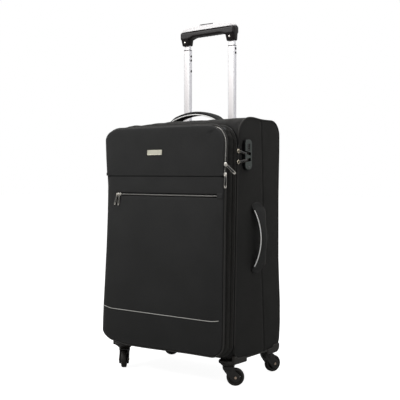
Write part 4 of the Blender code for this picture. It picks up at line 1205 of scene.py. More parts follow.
seam_pts = [(seam_curve(z), z) for z in np.linspace(ZB + 0.002, ZT - 0.002, 70)]
seam_a = [(y - 0.0022, z) for y, z in seam_pts]
seam_b = [(y + 0.0022, z) for y, z in seam_pts]
for nm, sgn in (("right", 1), ("left", -1)):
    outl = side_outline(-0.0012)
    V2, F2 = sheet2d(outl, 0.0062, lines=[seam_a, seam_pts, seam_b])
    d = poly_distance(outl, V2)
    h = rolled(d, -0.0026, 0.0, 0.0080)
    sv = np.array([seam_curve(z) for z in V2[:, 1]])
    ds = np.abs(V2[:, 0] - sv)
    h = h - np.exp(-(ds / 0.0013) ** 2) * 0.0024 + np.exp(-((V2[:, 0] - sv - 0.0034) / 0.0018) ** 2) * 0.0005
    h = h + ripple(V2, 0.0004, 15.0, 21 if sgn > 0 else 22) * smoothstep(0.0, 0.03, d)
    if sgn > 0:
        # pull marks round the handle ends and the lock
        for yy, zz, a, w in ((-0.004, 0.489, -0.0007, 0.016), (-0.004, 0.281, -0.0007, 0.016), (-0.0625, 0.6055, -0.0006, 0.045)):
            h = h + a * np.exp(-(((V2[:, 0] - yy) ** 2 + (V2[:, 1] - zz) ** 2) / w ** 2))
    pin_d = np.where(ds < 0.0030, 0.0, d)
    soft_sheet(f"side_panel_cloth_{nm}", V2, F2, side3d_factory(sgn), h, (sgn, 0, 0), "side", "case", 2.5, 0.0013, 0.0030,
               thickness=0.0030, replaces=(f"side_panel_{nm}",), dist=pin_d)
    edge = [Vector((sgn * (HALF - 0.0010), y, z)) for y, z in resample(side_outline(-0.0007, n=14), 0.006)]
    pipe(f"side_piping_{nm}", edge, 0.0020, "piping", "case", closed=True, k=10, soft=True)

# =============================================================== handles
def strap(name, length0, length1, rise, widths, thick, place, mat, body, slot, replaces, flat=0.0190, tip=0.020, n=44, kk=18, lift=0.0004, edge=None, full=0.80):
    """Padded carry handle: tongue ends sewn flat, narrower arched middle, crowned section."""
    V_, F_ = [], []
    L = length1 - length0
    w_end, w_mid = widths
    sec = []
    for i in range(n + 1):
        s_ = i / n
        e = min(s_, 1 - s_) * L
        a = max(0.0, min(1.0, (e - flat) / (L / 2 - flat)))
        w_ = w_end + (w_mid - w_end) * sin(pi / 2 * min(1, a * 1.5)) ** 1.3
        if e < tip:
            w_ *= sqrt(max(0.0, 1 - (1 - e / tip) ** 2)) * 0.90 + 0.10
        up = (rise - thick) * sin(pi / 2 * a) ** full
        th = thick * (0.50 + 0.50 * min(1, e / 0.024)) * (1 if e > 0.001 else 0.6)
        off = 0.0 if edge is None else edge * (w_end - w_) / 2 * (1 if e >= tip else e / tip)
        sec.append((length0 + L * s_, up, w_, th, off))
    for u_, up, w_, th, off in sec:
        for j in range(kk):
            a = 2 * pi * j / kk
            cx = abs(cos(a)) ** 0.55 * (1 if cos(a) >= 0 else -1)
            sx_ = abs(sin(a)) ** 0.75 * (1 if sin(a) >= 0 else -1)
            V_.append(place(u_, lift + up + th / 2 + th / 2 * sx_, off + w_ / 2 * cx))
    for i in range(n):
        for j in range(kk):
            F_.append((i * kk + j, i * kk + (j + 1) % kk, (i + 1) * kk + (j + 1) % kk, (i + 1) * kk + j))
    F_ += [tuple(range(kk))[::-1], tuple(n * kk + j for j in range(kk))]
    ob_ = add(name, V_, F_, mat, body, slot=slot, replaces=replaces)
    sd = ob_.modifiers.new("soft", "SUBSURF")
    sd.levels = sd.render_levels = 1
    modifier_apply(ob_)
    return sec


# side handle, on the right panel
SIDE_C = -0.0123
place_side = lambda u_, o, w: Vector((HALF + o, SIDE_C + w, u_))
sec = strap("side_handle_pad", 0.2890, 0.4805, 0.0368, (0.0535, 0.0280), 0.0100, place_side, "handle", "case", "handle_fabric", ("side_carry_handle",), edge=-1, flat=0.0150, full=0.72)
pts = [place_side(u_, 0.0004 + up + th * 0.72, off - w_ / 2 - 0.0003) for u_, up, w_, th, off in sec if 0.3075 < u_ < 0.4590]
pipe("side_handle_light_piping", pts, 0.00150, "silver", "case", k=10)
pts = [place_side(u_, 0.0004 + up + th * 0.62, off + w_ / 2 + 0.0001) for u_, up, w_, th, off in sec if 0.300 < u_ < 0.470]
pipe("side_handle_dark_piping", pts, 0.0014, "piping", "case", k=8)
# top handle
TOP_C = 0.0020
place_top = lambda u_, o, w: Vector((u_ + 0.0040, TOP_C + w, ZT - 0.0002 + o))
sec = strap("top_handle_pad", -0.0920, 0.0920, 0.0300, (0.0375, 0.0330), 0.0115, place_top, "handle", "case", "handle_fabric", ("top_carry_handle",), flat=0.0130, full=0.80)
pts = [place_top(u_, 0.0004 + up + th * 0.16, -w_ / 2 - 0.0001) for u_, up, w_, th, off in sec if abs(u_) < 0.0800]
pipe("top_handle_light_piping", pts, 0.00150, "silver", "case", k=10)
pts = [place_top(u_, 0.0004 + up + th * 0.16, w_ / 2 + 0.0001) for u_, up, w_, th, off in sec if abs(u_) < 0.0800]
pipe("top_handle_dark_piping", pts, 0.0014, "piping", "case", k=8)


# =============================================================== trolley
def moulded_form(ob_, voxel, times):
    """Rounds a hard-edged blank as a moulding would be."""
    rm = ob_.modifiers.new("remesh", "REMESH")
    rm.mode, rm.voxel_size = "VOXEL", voxel
    sm_ = ob_.modifiers.new("soft", "SMOOTH")
    sm_.factor, sm_.iterations = 0.5, times
    return modifier_apply(ob_)


def temp(name, geo):
    me_ = bpy.data.meshes.new(name)
    me_.from_pydata([tuple(v) for v in geo[0]], [], geo[1])
    bm_ = bmesh.new()
    bm_.from_mesh(me_)
    bmesh.ops.recalc_face_normals(bm_, faces=bm_.faces)
    bm_.to_mesh(me_)
    bm_.free()
    ob_ = bpy.data.objects.new(name, me_)
    bpy.context.scene.collection.objects.link(ob_)
    return ob_


def combine(ob_, other, how):
    md_ = ob_.modifiers.new("b", "BOOLEAN")
    md_.object, md_.operation, md_.solver = other, how, "EXACT"
    modifier_apply(ob_)
    bpy.data.objects.remove(other, do_unlink=True)
    return ob_


def rrect(cx, cy, w, h, r, n=4):
    return fillet([(cx - w / 2, cy - h / 2), (cx + w / 2, cy - h / 2), (cx + w / 2, cy + h / 2), (cx - w / 2, cy + h / 2)], [r] * 4, n)


def prism(outer, inner, z0, z1):
    """Vertical tube wall between two outlines."""
    V_, F_ = [], []
    n_ = len(outer)
    for z in (z0, z1):
        V_ += [Vector((x, y, z)) for x, y in outer]
    for z in (z0, z1):
        V_ += [Vector((x, y, z)) for x, y in inner]
    for i in range(n_):
        j = (i + 1) % n_
        F_.append((i, j, n_ + j, n_ + i))
        F_.append((2 * n_ + i, 3 * n_ + i, 3 * n_ + j, 2 * n_ + j))
        F_.append((n_ + i, n_ + j, 3 * n_ + j, 3 * n_ + i))
        F_.append((i, 2 * n_ + i, 2 * n_ + j, j))
    return V_, F_


def tube_piece(name, sx, w, d_, wall, z0, z1, body, node_, mat="alu", r=0.0045):
    V_, F_ = prism(rrect(sx * TUBE_X, TUBE_Y, w, d_, r, 7), rrect(sx * TUBE_X, TUBE_Y, w - 2 * wall, d_ - 2 * wall, r - wall, 7), z0, z1)
    return add(name, V_, F_, mat, body, slot="tube_aluminium", replaces=(node_,) if node_ else (), sharp=50)


MID_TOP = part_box("mid_tube_left")[1].z
GRIP_Y = (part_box("grip_body")[0].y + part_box("grip_body")[1].y) / 2 - SY
for nm, sx in (("left", -1), ("right", 1)):
    tube_piece(f"trolley_mid_{nm}", sx, 0.0240, 0.0130, 0.0012, 0.5450, MID_TOP, "trolley_mid", f"mid_tube_{nm}")
    tube_piece(f"trolley_inner_{nm}", sx, 0.0206, 0.0096, 0.0012, 0.6800, 0.9590, "trolley_grip", f"inner_tube_{nm}", r=0.0042)
    # collar sits round the end of the drawn stage
    V, F = prism(rrect(sx * TUBE_X, TUBE_Y, 0.0240, 0.0130, 0.0046, 7), rrect(sx * TUBE_X, TUBE_Y, 0.0211, 0.0101, 0.0043, 7), MID_TOP + 0.0002, MID_TOP + 0.0024)
    add(f"trolley_collar_{nm}", V, F, "grip", "trolley_mid", sharp=50)
    # lock pin holes: dark buttons on the outer narrow face
    parts = []
    for zz in (0.8985, 0.8865, 0.8550) if nm == "left" else (0.9075, 0.8955):
        c = Vector((sx * TUBE_X + 0.0121, TUBE_Y, zz))
        parts.append(pipe_geo([c - Vector((0.0010, 0, 0)), c + Vector((0.0001, 0, 0))], 0.0036, k=14))
    V, F = join_geo(parts)
    add(f"trolley_lock_pins_{nm}", V, F, "hub", "trolley_mid", sharp=40)
    # rivets on the front of the grip legs
    c = Vector((sx * TUBE_X, GRIP_Y - 0.0114, 0.9390 + 0.020 * sx * TUBE_X))
    V, F = [], []
    prof_ = [(0.0001, -0.0013), (0.0014, -0.0012), (0.0026, -0.0007), (0.0031, 0.0), (0.0031, 0.0006)]
    ks = 16
    for i in range(ks):
        a = 2 * pi * i / ks
        for r_, y_ in prof_:
            V.append(c + Vector((r_ * cos(a), y_, r_ * sin(a))))
    kp = len(prof_)
    for i in range(ks):
        for j in range(kp - 1):
            F.append((i * kp + j, i * kp + j + 1, ((i + 1) % ks) * kp + j + 1, ((i + 1) % ks) * kp + j))
    F.append(tuple(i * kp for i in range(ks)))
    F.append(tuple(i * kp + kp - 1 for i in range(ks))[::-1])
    add(f"grip_rivet_{nm}", V, F, "nickel", "trolley_grip", sharp=60)

def loft(rings):
    V_, F_ = [v for r_ in rings for v in r_], []
    k_ = len(rings[0])
    for i_ in range(len(rings) - 1):
        F_ += [(i_ * k_ + j_, i_ * k_ + (j_ + 1) % k_, (i_ + 1) * k_ + (j_ + 1) % k_, (i_ + 1) * k_ + j_) for j_ in range(k_)]
    return V_, F_ + [tuple(range(k_))[::-1], tuple((len(rings) - 1) * k_ + j_ for j_ in range(k_))]


RACK = Matrix(((1, 0, 0, 0), (0, 1, 0, 0), (0.020, 0, 1, 0), (0, 0, 0, 1)))   # play in the tubes leaves the grip a touch askew
# grip: legs taper down to the tubes, bar between them with a soft underside
G_HALF = (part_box("grip_body")[1].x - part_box("grip_body")[0].x) / 2
G_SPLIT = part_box("grip_body")[1].z - 0.0004
rings = []
for q in np.linspace(-1, 1, 41):
    x = q * (G_HALF + 0.0002)
    end = min(1.0, (1 - abs(q)) * 26 + 0.55)
    z_bot = 0.9515 - 0.0060 * float(smoothstep(0.046, 0.070, abs(x)))
    hz = (G_SPLIT - z_bot) * (0.80 + 0.20 * end)
    rings.append([Vector((x, a, b)) for a, b in rrect(GRIP_Y, G_SPLIT - hz / 2, 0.0286 * (0.86 + 0.14 * end), hz, 0.0052, 5)])
grip = temp("grip_blank", loft(rings))
for sx in (-1, 1):
    rings = [[Vector((a, b, z)) for a, b in rrect(sx * cx_, cy_, w_, d_, r_, 5)] for z, cx_, cy_, w_, d_, r_ in (
        (0.9285 + (0.0016 if sx < 0 else 0), TUBE_X, TUBE_Y - 0.0014, 0.0260, 0.0196, 0.0058), (0.9302 + (0.0012 if sx < 0 else 0), TUBE_X, TUBE_Y - 0.0016, 0.0276, 0.0214, 0.0062),
        (0.9420, TUBE_X - 0.0002, TUBE_Y - 0.0028, 0.0306, 0.0252, 0.0074), (0.9540, TUBE_X - 0.0008, GRIP_Y, 0.0330, 0.0282, 0.0084), (0.9640, TUBE_X - 0.0010, GRIP_Y, 0.0338, 0.0288, 0.0084))]
    combine(grip, temp("leg", loft(rings)), "UNION")
moulded_form(grip, 0.0009, 6)
grip.data.transform(RACK)
grip.name = "grip_moulding"
finish_piece(grip, "grip", "trolley_grip", replaces=("grip_body",))
# cover: arched cap, ends drooping, with the slot of the push button
C_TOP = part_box("grip_cover")[1].z
rings = []
for a in np.linspace(-pi / 2 + 0.02, pi / 2 - 0.02, 61):
    q = sin(a)
    x = q * (G_HALF + 0.0008)
    end = max(0.0, 1 - abs(q) ** 9) ** 0.5
    H_ = (C_TOP - G_SPLIT - 0.0002 - 0.0075 * abs(q) ** 2.4) * (0.12 + 0.88 * end)
    wy = 0.0151 * (0.30 + 0.70 * end)
    ring_ = []
    for c_ in np.linspace(0, pi, 17):
        ring_.append(Vector((x, GRIP_Y + wy * (1 if cos(c_) >= 0 else -1) * abs(cos(c_)) ** 0.50, G_SPLIT + 0.0002 + H_ * max(0.0, sin(c_)) ** 0.50)))
    rings.append(ring_)
cover = temp("grip_cap", loft(rings))
b0, b1 = (v - Vector((SX, SY, 0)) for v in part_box("grip_button"))
combine(cover, temp("button_slot", box_geo((b0.x - 0.0005, b0.y - 0.0005, b0.z - 0.0052), (b1.x + 0.0005, b1.y + 0.0005, 1.05))), "DIFFERENCE")
cover.data.transform(RACK)
finish_piece(cover, "cover", "trolley_grip", replaces=("grip_cover",), sharp=40)
# finger ridges under the bar
parts = []
for i in range(7):
    x = -0.036 + 0.012 * i
    parts.append(pipe_geo([Vector((x, GRIP_Y - 0.0090, 0.9528 + 0.020 * x)), Vector((x, GRIP_Y + 0.0090, 0.9528 + 0.020 * x))], 0.0019, k=10))
V, F = join_geo(parts)
add("grip_finger_ridges", V, F, "grip", "trolley_grip", sharp=60)

# bezel: a saddle moulding over the rounded rear edge, open for both tubes
z0_, z1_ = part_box("trolley_bezel")
bx_, by0, by1 = (z1_.x - z0_.x) / 2, z0_.y - SY, z1_.y - SY
outline_ = rrect(0, (by0 + by1) / 2, 2 * bx_, by1 - by0, 0.0100, 6)
holes_ = [rrect(sx * TUBE_X, TUBE_Y, 0.0286, 0.0176, 0.0050, 5) for sx in (-1, 1)]
V2, F2 = sheet2d(outline_, 0.0045, holes=holes_, rows=(0.0010, 0.0022))
d_o = poly_distance(outline_, V2)
d_h = np.minimum(*[poly_distance(h_, V2) for h_ in holes_])
fall = np.maximum(0.0, V2[:, 1] - (YB - R_RT))
surf_z = ZT - R_RT + np.sqrt(np.maximum(0.0, R_RT ** 2 - fall ** 2))
zz_ = surf_z - 0.0006 + 0.0048 * np.sqrt(1 - (1 - np.clip(d_o / 0.0050, 0, 1)) ** 2) + 0.0008 * np.exp(-(d_h / 0.0024) ** 2)
bez = add("trolley_bezel_moulding", [Vector((a, b, c)) for (a, b), c in zip(V2, zz_)], F2, "guard", None, slot="trim_plastic", replaces=("trolley_bezel",), closed=False)
outward_solid(bez, 0.0056, (SX, SY, 0.38))
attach(bez, "case")

# =============================================================== pulls: nickel rim, black insert
joint_at = {j["child"]: Vector(j["pos_m"]) for j in frame["joints"] if j.get("pos_m")}


def pull_frame(node_, at):
    """Pivot, direction down the pull, across it and out of it, with its length, in the row frame."""
    co_ = np.array([v.co for v in NODES[node_].data.vertices])
    c = co_.mean(0)
    _, _, vt = np.linalg.svd(co_ - c)
    L, W_, T_ = (Vector(v) for v in vt)
    if (Vector(c) - at).dot(L) < 0:
        L = -L
    return L, W_, T_, float(((co_ - np.array(at)) @ np.array(L)).max()), float(((co_ - np.array(at)) @ np.array(W_)).max())


LEANING = {"slit_pull_left": 16.0, "slit_pull_right": 6.0}
for key in ("pocket_pull_upper", "pocket_pull_lower", "slit_pull_left", "slit_pull_right", "main_pull_upper", "main_pull_lower"):
    at = joint_at[key]
    L, W_, T_, length, half = pull_frame(key, at)
    turn = Matrix.Identity(4)
    if key in LEANING:                         # hangs a little to one side
        turn = Matrix.Translation(at) @ Matrix.Rotation(radians(LEANING[key]), 4, Vector((0, -1, LEAN)).normalized()) @ Matrix.Translation(-at)
        if (turn @ (at + L * length)).x > (at + L * length).x:
            turn = Matrix.Translation(at) @ Matrix.Rotation(-radians(LEANING[key]), 4, Vector((0, -1, LEAN)).normalized()) @ Matrix.Translation(-at)
        me = NODES[key].data.copy()
        ob = bpy.data.objects.new(key + "_plate", me)
        bpy.context.scene.collection.objects.link(ob)
        me.transform(SHIFT.inverted() @ turn)
        finish_piece(ob, "pull", key, replaces=(key,), sharp=35)
    Mx = Matrix((L, W_, T_)).transposed().to_4x4()
    Mx.translation = at
    w_ = half - 0.0008
    out_ = fillet([(0.0054, -w_), (length - 0.0058, -w_), (length - 0.0058, w_), (0.0054, w_)], [w_ * 0.6] * 4, 4)
    V, F = [], []
    nn_ = len(out_)
    for h_, ins in ((-0.00115, 0.0004), (-0.00095, 0.0), (0.00095, 0.0), (0.00115, 0.0004)):
        mid_ = (0.0054 + length - 0.0058) / 2
        for x, y in out_:
            V.append(SHIFT.inverted() @ (turn @ (Mx @ Vector((mid_ + (x - mid_) * (1 - ins / 0.01), y * (1 - ins / w_), h_)))))
    for r_ in range(3):
        for i in range(nn_):
            F.append((r_ * nn_ + i, r_ * nn_ + (i + 1) % nn_, (r_ + 1) * nn_ + (i + 1) % nn_, (r_ + 1) * nn_ + i))
    F += [tuple(range(nn_))[::-1], tuple(3 * nn_ + i for i in range(nn_))]
    add(key + "_insert", V, F, "gloss", key, sharp=40)

# round rims on the two main sliders
for key in ("upper", "lower"):
    at = SHIFT.inverted() @ joint_at["main_pull_" + key]
    ring_ = [Vector((HALF + 0.0034, at.y + 0.0047 * cos(a), at.z + 0.0047 * sin(a))) for a in np.linspace(0, 2 * pi, 29)[:-1]]
    pipe("main_slider_rim_" + key, ring_, 0.0011, "champagne", "case", closed=True, k=8)

# =============================================================== casters
def lathe(profile, steps):
    """Closed profile (radius, axial) turned about the local Y axis."""
    V_, F_ = [], []
    k_ = len(profile)
    for i in range(steps):
        a = 2 * pi * i / steps
        for r_, h_ in profile:
            V_.append(Vector((r_ * cos(a), h_, r_ * sin(a))))
    for i in range(steps):
        for j in range(k_):
            F_.append((i * k_ + j, i * k_ + (j + 1) % k_, ((i + 1) % steps) * k_ + (j + 1) % k_, ((i + 1) % steps) * k_ + j))
    return V_, F_


swivel = {j["name"]: j for j in frame["joints"]}
for key in ("front_right", "front_left", "rear_right", "rear_left"):
    jw = swivel[f"wheel_spin_{key}"]
    hub = Vector(jw["pos_m"])
    axis = Vector(jw["axis"])
    yax = axis.normalized()
    zax = Vector((0, 0, 1))
    xax = yax.cross(zax).normalized()
    Mw = Matrix((xax, yax, zax)).transposed().to_4x4()
    Mw.translation = hub
    h, r = 0.0075, 0.0235
    prof_ = [(0.0166, h - 0.0003), (0.0190, h), (0.0212, h - 0.0004), (0.0226, h - 0.0015), (0.0233, h - 0.0032), (r, 0.0)]
    prof_ = prof_ + [(a, -b) for a, b in reversed(prof_[:-1])] + [(0.0152, -h + 0.0016), (0.0152, h - 0.0016)]
    V, F = lathe(prof_, 56)
    add(f"tyre_{key}", [SHIFT.inverted() @ (Mw @ v) for v in V], F, "tyre", f"wheel_{key}", slot="wheel_tyre", replaces=(f"caster_wheel_{key}",), sharp=40)
    # hub: bearing boss, rim ring, slotted web and five ribs
    boss_ = [(0.0024, h - 0.0004), (0.0060, h - 0.0004), (0.0068, h - 0.0012), (0.0074, 0.0018), (0.0096, 0.0016)]
    rim_ = [(0.0134, 0.0016), (0.0138, 0.0022), (0.0143, h - 0.0010), (0.0151, h - 0.0010)]
    geo = [lathe(boss_ + [(a, -b) for a, b in reversed(boss_)], 40), lathe(rim_ + [(a, -b) for a, b in reversed(rim_)], 56)]
    for i in range(8):                                     # web sectors with slots between
        a0, a1 = 2 * pi * (i + 0.14) / 8, 2 * pi * (i + 0.86) / 8
        v_, f_ = [], []
        for q in range(7):
            a = a0 + (a1 - a0) * q / 6
            v_ += [Vector((r_ * cos(a), y_, r_ * sin(a))) for r_, y_ in ((0.0094, -0.0014), (0.0137, -0.0014), (0.0137, 0.0014), (0.0094, 0.0014))]
        for q in range(6):
            f_ += [(4 * q + c, 4 * q + (c + 1) % 4, 4 * q + 4 + (c + 1) % 4, 4 * q + 4 + c) for c in range(4)]
        f_ += [(0, 1, 2, 3), (27, 26, 25, 24)]
        geo.append((v_, f_))
    for s_ in (1, -1):
        for i in range(8):
            R_ = Matrix.Rotation(2 * pi * i / 8 + pi / 8, 4, "Y")
            geo.append(box_geo((0.0068, 0.0010 if s_ > 0 else -h + 0.0022, -0.0007), (0.0140, h - 0.0022 if s_ > 0 else -0.0010, 0.0007), R_))
    V, F = join_geo(geo)
    add(f"hub_{key}", [SHIFT.inverted() @ (Mw @ v) for v in V], F, "hub", f"wheel_{key}", slot="wheel_tyre", sharp=40)


# forks: round crown running into two arms that end in discs round the axle
swv, hubp = Vector(swivel["swivel_front_right"]["pos_m"]), Vector(swivel["wheel_spin_front_right"]["pos_m"])
trail, wheel_z = hypot(hubp.x - swv.x, hubp.y - swv.y), hubp.z
crown_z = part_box("caster_fork_front_right")[1].z
top_z = min(0.0526, crown_z)
disc = [(trail + 0.0127 * cos(radians(a)), wheel_z + 0.0127 * sin(radians(a))) for a in range(-140, 56, 8)]
blank = disc + [(0.0172, 0.0395), (0.0160, 0.0455), (0.0152, top_z - 0.0006), (-0.0140, top_z - 0.0006), (-0.0146, 0.0470), (-0.0126, 0.0425), (-0.0060, 0.0330)]
V = [Vector((u, y_, z)) for y_ in (-0.0136, 0.0136) for u, z in blank]
nb = len(blank)
F = [(i, (i + 1) % nb, nb + (i + 1) % nb, nb + i) for i in range(nb)] + [tuple(range(nb))[::-1], tuple(nb + i for i in range(nb))]
fork = temp("fork_blank", (V, F))
crown = [(0.0001, top_z), (0.0150, top_z), (0.0160, top_z - 0.0010), (0.0158, 0.0470), (0.0146, 0.0425), (0.0120, 0.0400), (0.0001, 0.0395)]
V, F = [], []
for i in range(40):
    a = 2 * pi * i / 40
    V += [Vector((r_ * cos(a), r_ * sin(a), z)) for r_, z in crown]
kc = len(crown)
for i in range(40):
    F += [(i * kc + j, i * kc + j + 1, ((i + 1) % 40) * kc + j + 1, ((i + 1) % 40) * kc + j) for j in range(kc - 1)]
F += [tuple(i * kc for i in range(40)), tuple(i * kc + kc - 1 for i in range(40))[::-1]]
combine(fork, temp("crown", (V, F)), "UNION")
room = [(0.0248, 0.0085), (0.0248, -0.0085), (0.0001, -0.0085), (0.0001, 0.0085)]
V, F = lathe(room, 48)
combine(fork, temp("room", ([v + Vector((trail, 0, wheel_z)) for v in V], F)), "DIFFERENCE")
moulded_form(fork, 0.00075, 7)
fork_mesh = fork.data
bpy.data.objects.remove(fork, do_unlink=True)
for key in ("front_right", "front_left", "rear_right", "rear_left"):
    a, b = SHIFT.inverted() @ Vector(swivel["swivel_" + key]["pos_m"]), SHIFT.inverted() @ Vector(swivel["wheel_spin_" + key]["pos_m"])
    me = fork_mesh.copy()
    me.transform(Matrix.Translation((a.x, a.y, 0)) @ Matrix.Rotation(atan2(b.y - a.y, b.x - a.x), 4, "Z"))
    ob = bpy.data.objects.new("fork_" + key, me)
    bpy.context.scene.collection.objects.link(ob)
    finish_piece(ob, "caster", "caster_" + key, replaces=("caster_fork_" + key,))

# corner guards: the moulding rounded, its neck running out in a cone
for key in ("front_right", "front_left", "rear_right", "rear_left"):
    at = SHIFT.inverted() @ joint_at["caster_" + key]
    prof_ = [(0.0001, 0.0531), (0.0152, 0.0531), (0.0166, 0.0535), (0.0182, 0.0552), (0.0208, 0.0580), (0.0232, 0.0602), (0.0256, 0.0618), (0.0001, 0.0618)]
    V, F = [], []
    ks, kp = 40, len(prof_)
    for i in range(ks):
        a = 2 * pi * i / ks
        V += [SHIFT @ Vector((at.x + r_ * cos(a), at.y + r_ * sin(a), z)) for r_, z in prof_]
    for i in range(ks):
        F += [(i * kp + j, i * kp + j + 1, ((i + 1) % ks) * kp + j + 1, ((i + 1) % ks) * kp + j) for j in range(kp - 1)]
    F += [tuple(i * kp for i in range(ks)), tuple(i * kp + kp - 1 for i in range(ks))[::-1]]
    cone = temp("cone", (V, F))
    ob = bpy.data.objects.new("guard_" + key, NODES["corner_guard_" + key].data.copy())
    bpy.context.scene.collection.objects.link(ob)
    combine(ob, cone, "UNION")
    moulded_form(ob, 0.00085, 8)
    ob.data.transform(SHIFT.inverted())
    finish_piece(ob, "guard", "case", replaces=("corner_guard_" + key,))

# =============================================================== interior
board_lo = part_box("back_board")[0]
yb_in = board_lo.y - SY


def grid_sheet(us, vs, fn):
    V_ = [Vector(fn(u, v)) for u in us for v in vs]
    k_ = len(vs)
    F_ = [(i * k_ + j, i * k_ + j + 1, (i + 1) * k_ + j + 1, (i + 1) * k_ + j) for i in range(len(us) - 1) for j in range(k_ - 1)]
    return V_, F_


def cloth_sheet(name, us, vs, fn, mat, body, thickness=0.0010, slot=None, soft=False):
    V_, F_ = grid_sheet(us, vs, fn)
    ob_ = add(name, V_, F_, mat, None, slot=slot, closed=False, soft=soft)
    sm_ = ob_.modifiers.new("t", "SOLIDIFY")
    sm_.thickness, sm_.offset = thickness, 0.0
    modifier_apply(ob_)
    ob_.data.shade_smooth()
    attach(ob_, body)
    return ob_


# lining bucket: round the four walls, with slack between the mouth and the back
loop = [tuple(p) for p in resample(fillet([(-0.2025, 0.0830), (0.2025, 0.0830), (0.2025, 0.6890), (-0.2025, 0.6890)], [0.030] * 4, 8), 0.011)]
loop.append(loop[0])
stations = np.linspace(0, 1, 16)


def bucket(u, v):
    x, z = loop[int(u)]
    front_y = yz(z) + 0.0105
    y = front_y + (yb_in - 0.0012 - front_y) * v
    mouth = exp(-(v / 0.10) ** 2)
    sag = (0.0012 + 0.0012 * sin(z * 40 + x * 23 + v * 5)) * sin(pi * v) + 0.0030 * mouth
    nx_, nz_ = x / 0.2025, (z - 0.386) / 0.303
    side_ = abs(nx_) ** 12
    return (x - np.sign(x) * sag * side_, y, z - np.sign(nz_) * sag * abs(nz_) ** 12)


V, F = grid_sheet(list(range(len(loop))), list(stations), bucket)
lin = add("lining_walls", V, F, "lining", None, closed=False, soft=True)
sm = lin.modifiers.new("t", "SOLIDIFY")
sm.thickness, sm.offset = 0.0008, 0.0
modifier_apply(lin)
lin.data.shade_smooth()
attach(lin, "case")
cloth_sheet("lining_back", np.linspace(-0.1960, 0.1960, 56), np.linspace(0.0870, 0.6850, 80),
            lambda x, z: (x, yb_in - 0.0018 - 0.0016 * (1 - (x / 0.196) ** 8) * (1 - ((z - 0.386) / 0.299) ** 8) * (1 + 0.35 * sin(x * 46 + 1) * sin(z * 33)), z), "lining", "case")
# packing straps crossing to a side-release buckle
for i, (sx, z_end) in enumerate(((-1, 0.150), (1, 0.150), (-1, 0.620), (1, 0.620))):
    pts = [Vector((sx * (0.012 + (0.178 - 0.012) * q), yb_in - 0.0070 - 0.0030 * sin(pi * q), 0.385 + (z_end - 0.385) * q)) for q in np.linspace(0.06, 1, 24)]
    V, F = tape_geo(pts, lambda p, a=(z_end - 0.385): Vector((-a, 0, 0.166 * 1.0 * sx)).normalized(), 0.0220, 0.0014)
    add(f"packing_strap_{i + 1}", V, F, "webbing", "case")
V, F = join_geo([
    box_geo((-0.0190, yb_in - 0.0150, 0.3560), (0.0190, yb_in - 0.0050, 0.3850)),
    box_geo((-0.0150, yb_in - 0.0140, 0.3850), (0.0150, yb_in - 0.0060, 0.4130)),
    box_geo((-0.0215, yb_in - 0.0130, 0.3640), (0.0215, yb_in - 0.0070, 0.3790)),
])
ob = add("packing_buckle", V, F, "grip", "case", smooth=False)
bevelled(ob, 0.0020, 3)
modifier_apply(ob)
ob.data.shade_smooth()

# lid inside: lining over the board, mesh pocket with a bound edge
def soft_board():
    lo_b, hi_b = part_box("lid_board")
    ob_ = bpy.data.objects.new("lid_stiffener", NODES["lid_board"].data.copy())
    bpy.context.scene.collection.objects.link(ob_)
    ob_.data.transform(SHIFT.inverted())
    sd_ = ob_.modifiers.new("cuts", "SUBSURF")
    sd_.subdivision_type, sd_.levels, sd_.render_levels = "SIMPLE", 3, 3
    modifier_apply(ob_)
    return finish_piece(ob_, "board", "lid", replaces=("lid_board",), smooth=False, soft=True)


cloth_sheet("lid_lining", np.linspace(-0.2030, 0.2030, 48), np.linspace(0.0870, 0.6740, 60),
            lambda x, z: (x * (1 - 0.035 * max(0, (abs(z - 0.3805) - 0.26) / 0.034)), yz(z) - 0.0335 + 0.0010 * sin(x * 30 + 2) * sin(z * 27), z), "lining", "lid", soft=True)
soft_board()
cloth_sheet("lid_mesh_pocket", np.linspace(-0.1700, 0.1700, 40), np.linspace(0.1200, 0.4600, 40),
            lambda x, z: (x, yz(z) - 0.0310 + 0.0045 * (1 - (x / 0.17) ** 4) * sin(pi * (z - 0.12) / 0.34) ** 0.5, z), "net", "lid", 0.0006)
edge = [(-0.171, 0.119), (0.171, 0.119), (0.171, 0.461), (-0.171, 0.461)]
pts = [Vector((p.x, yz(p.y) - 0.0312, p.y)) for p in resample(edge, 0.01)] 
V, F = tape_geo(pts + [pts[0]], lambda p: Vector((1, 0, 0)) if abs(p.x) > 0.1705 else Vector((0, 0, 1)), 0.0110, 0.0012)
add("lid_mesh_binding", V, F, "webbing", "lid")
# lining of the pocket behind the flap
cloth_sheet("flap_pocket_lining", np.linspace(-0.1960, 0.1960, 40), np.linspace(0.5500, 0.6700, 18),
            lambda x, z: (x, yz(z) - 0.0395 - 0.0010 * sin(x * 40) * sin(z * 60), z), "lining", "lid", soft=True)

# =============================================================== CAD nodes kept: better materials and soft edges
KEEP = {
    "base_tray": "tray", "back_board": "board", "opening_frame": "steel",
    "outer_tube_left": "alu", "outer_tube_right": "alu", "trolley_foot_bracket": "tray",
    "lock_body": "lock", "lock_dial_1": "dial", "lock_dial_2": "dial", "lock_dial_3": "dial", "lock_release_button": "gloss",
    "main_slider_upper": "dark_nickel", "main_slider_lower": "dark_nickel", "pocket_slider_upper": "nickel", "pocket_slider_lower": "nickel",
    "slit_slider_left": "nickel", "slit_slider_right": "nickel", "main_pull_upper": "dark_nickel", "main_pull_lower": "dark_nickel",
    "pocket_pull_upper": "pull", "pocket_pull_lower": "pull", "slit_pull_left": "pull", "slit_pull_right": "pull",
    "badge_plate": "badge", "grip_button": "button",
}
for key in ("front_right", "front_left", "rear_right", "rear_left"):
    KEEP["caster_axle_" + key] = "rivet"
for n_, mt in KEEP.items():
    ob = NODES[n_]
    ob.data.materials.clear()
    ob.data.materials.append(M[mt])
    ob.data.shade_smooth()
    ob.data.set_sharp_from_angle(angle=radians(38))

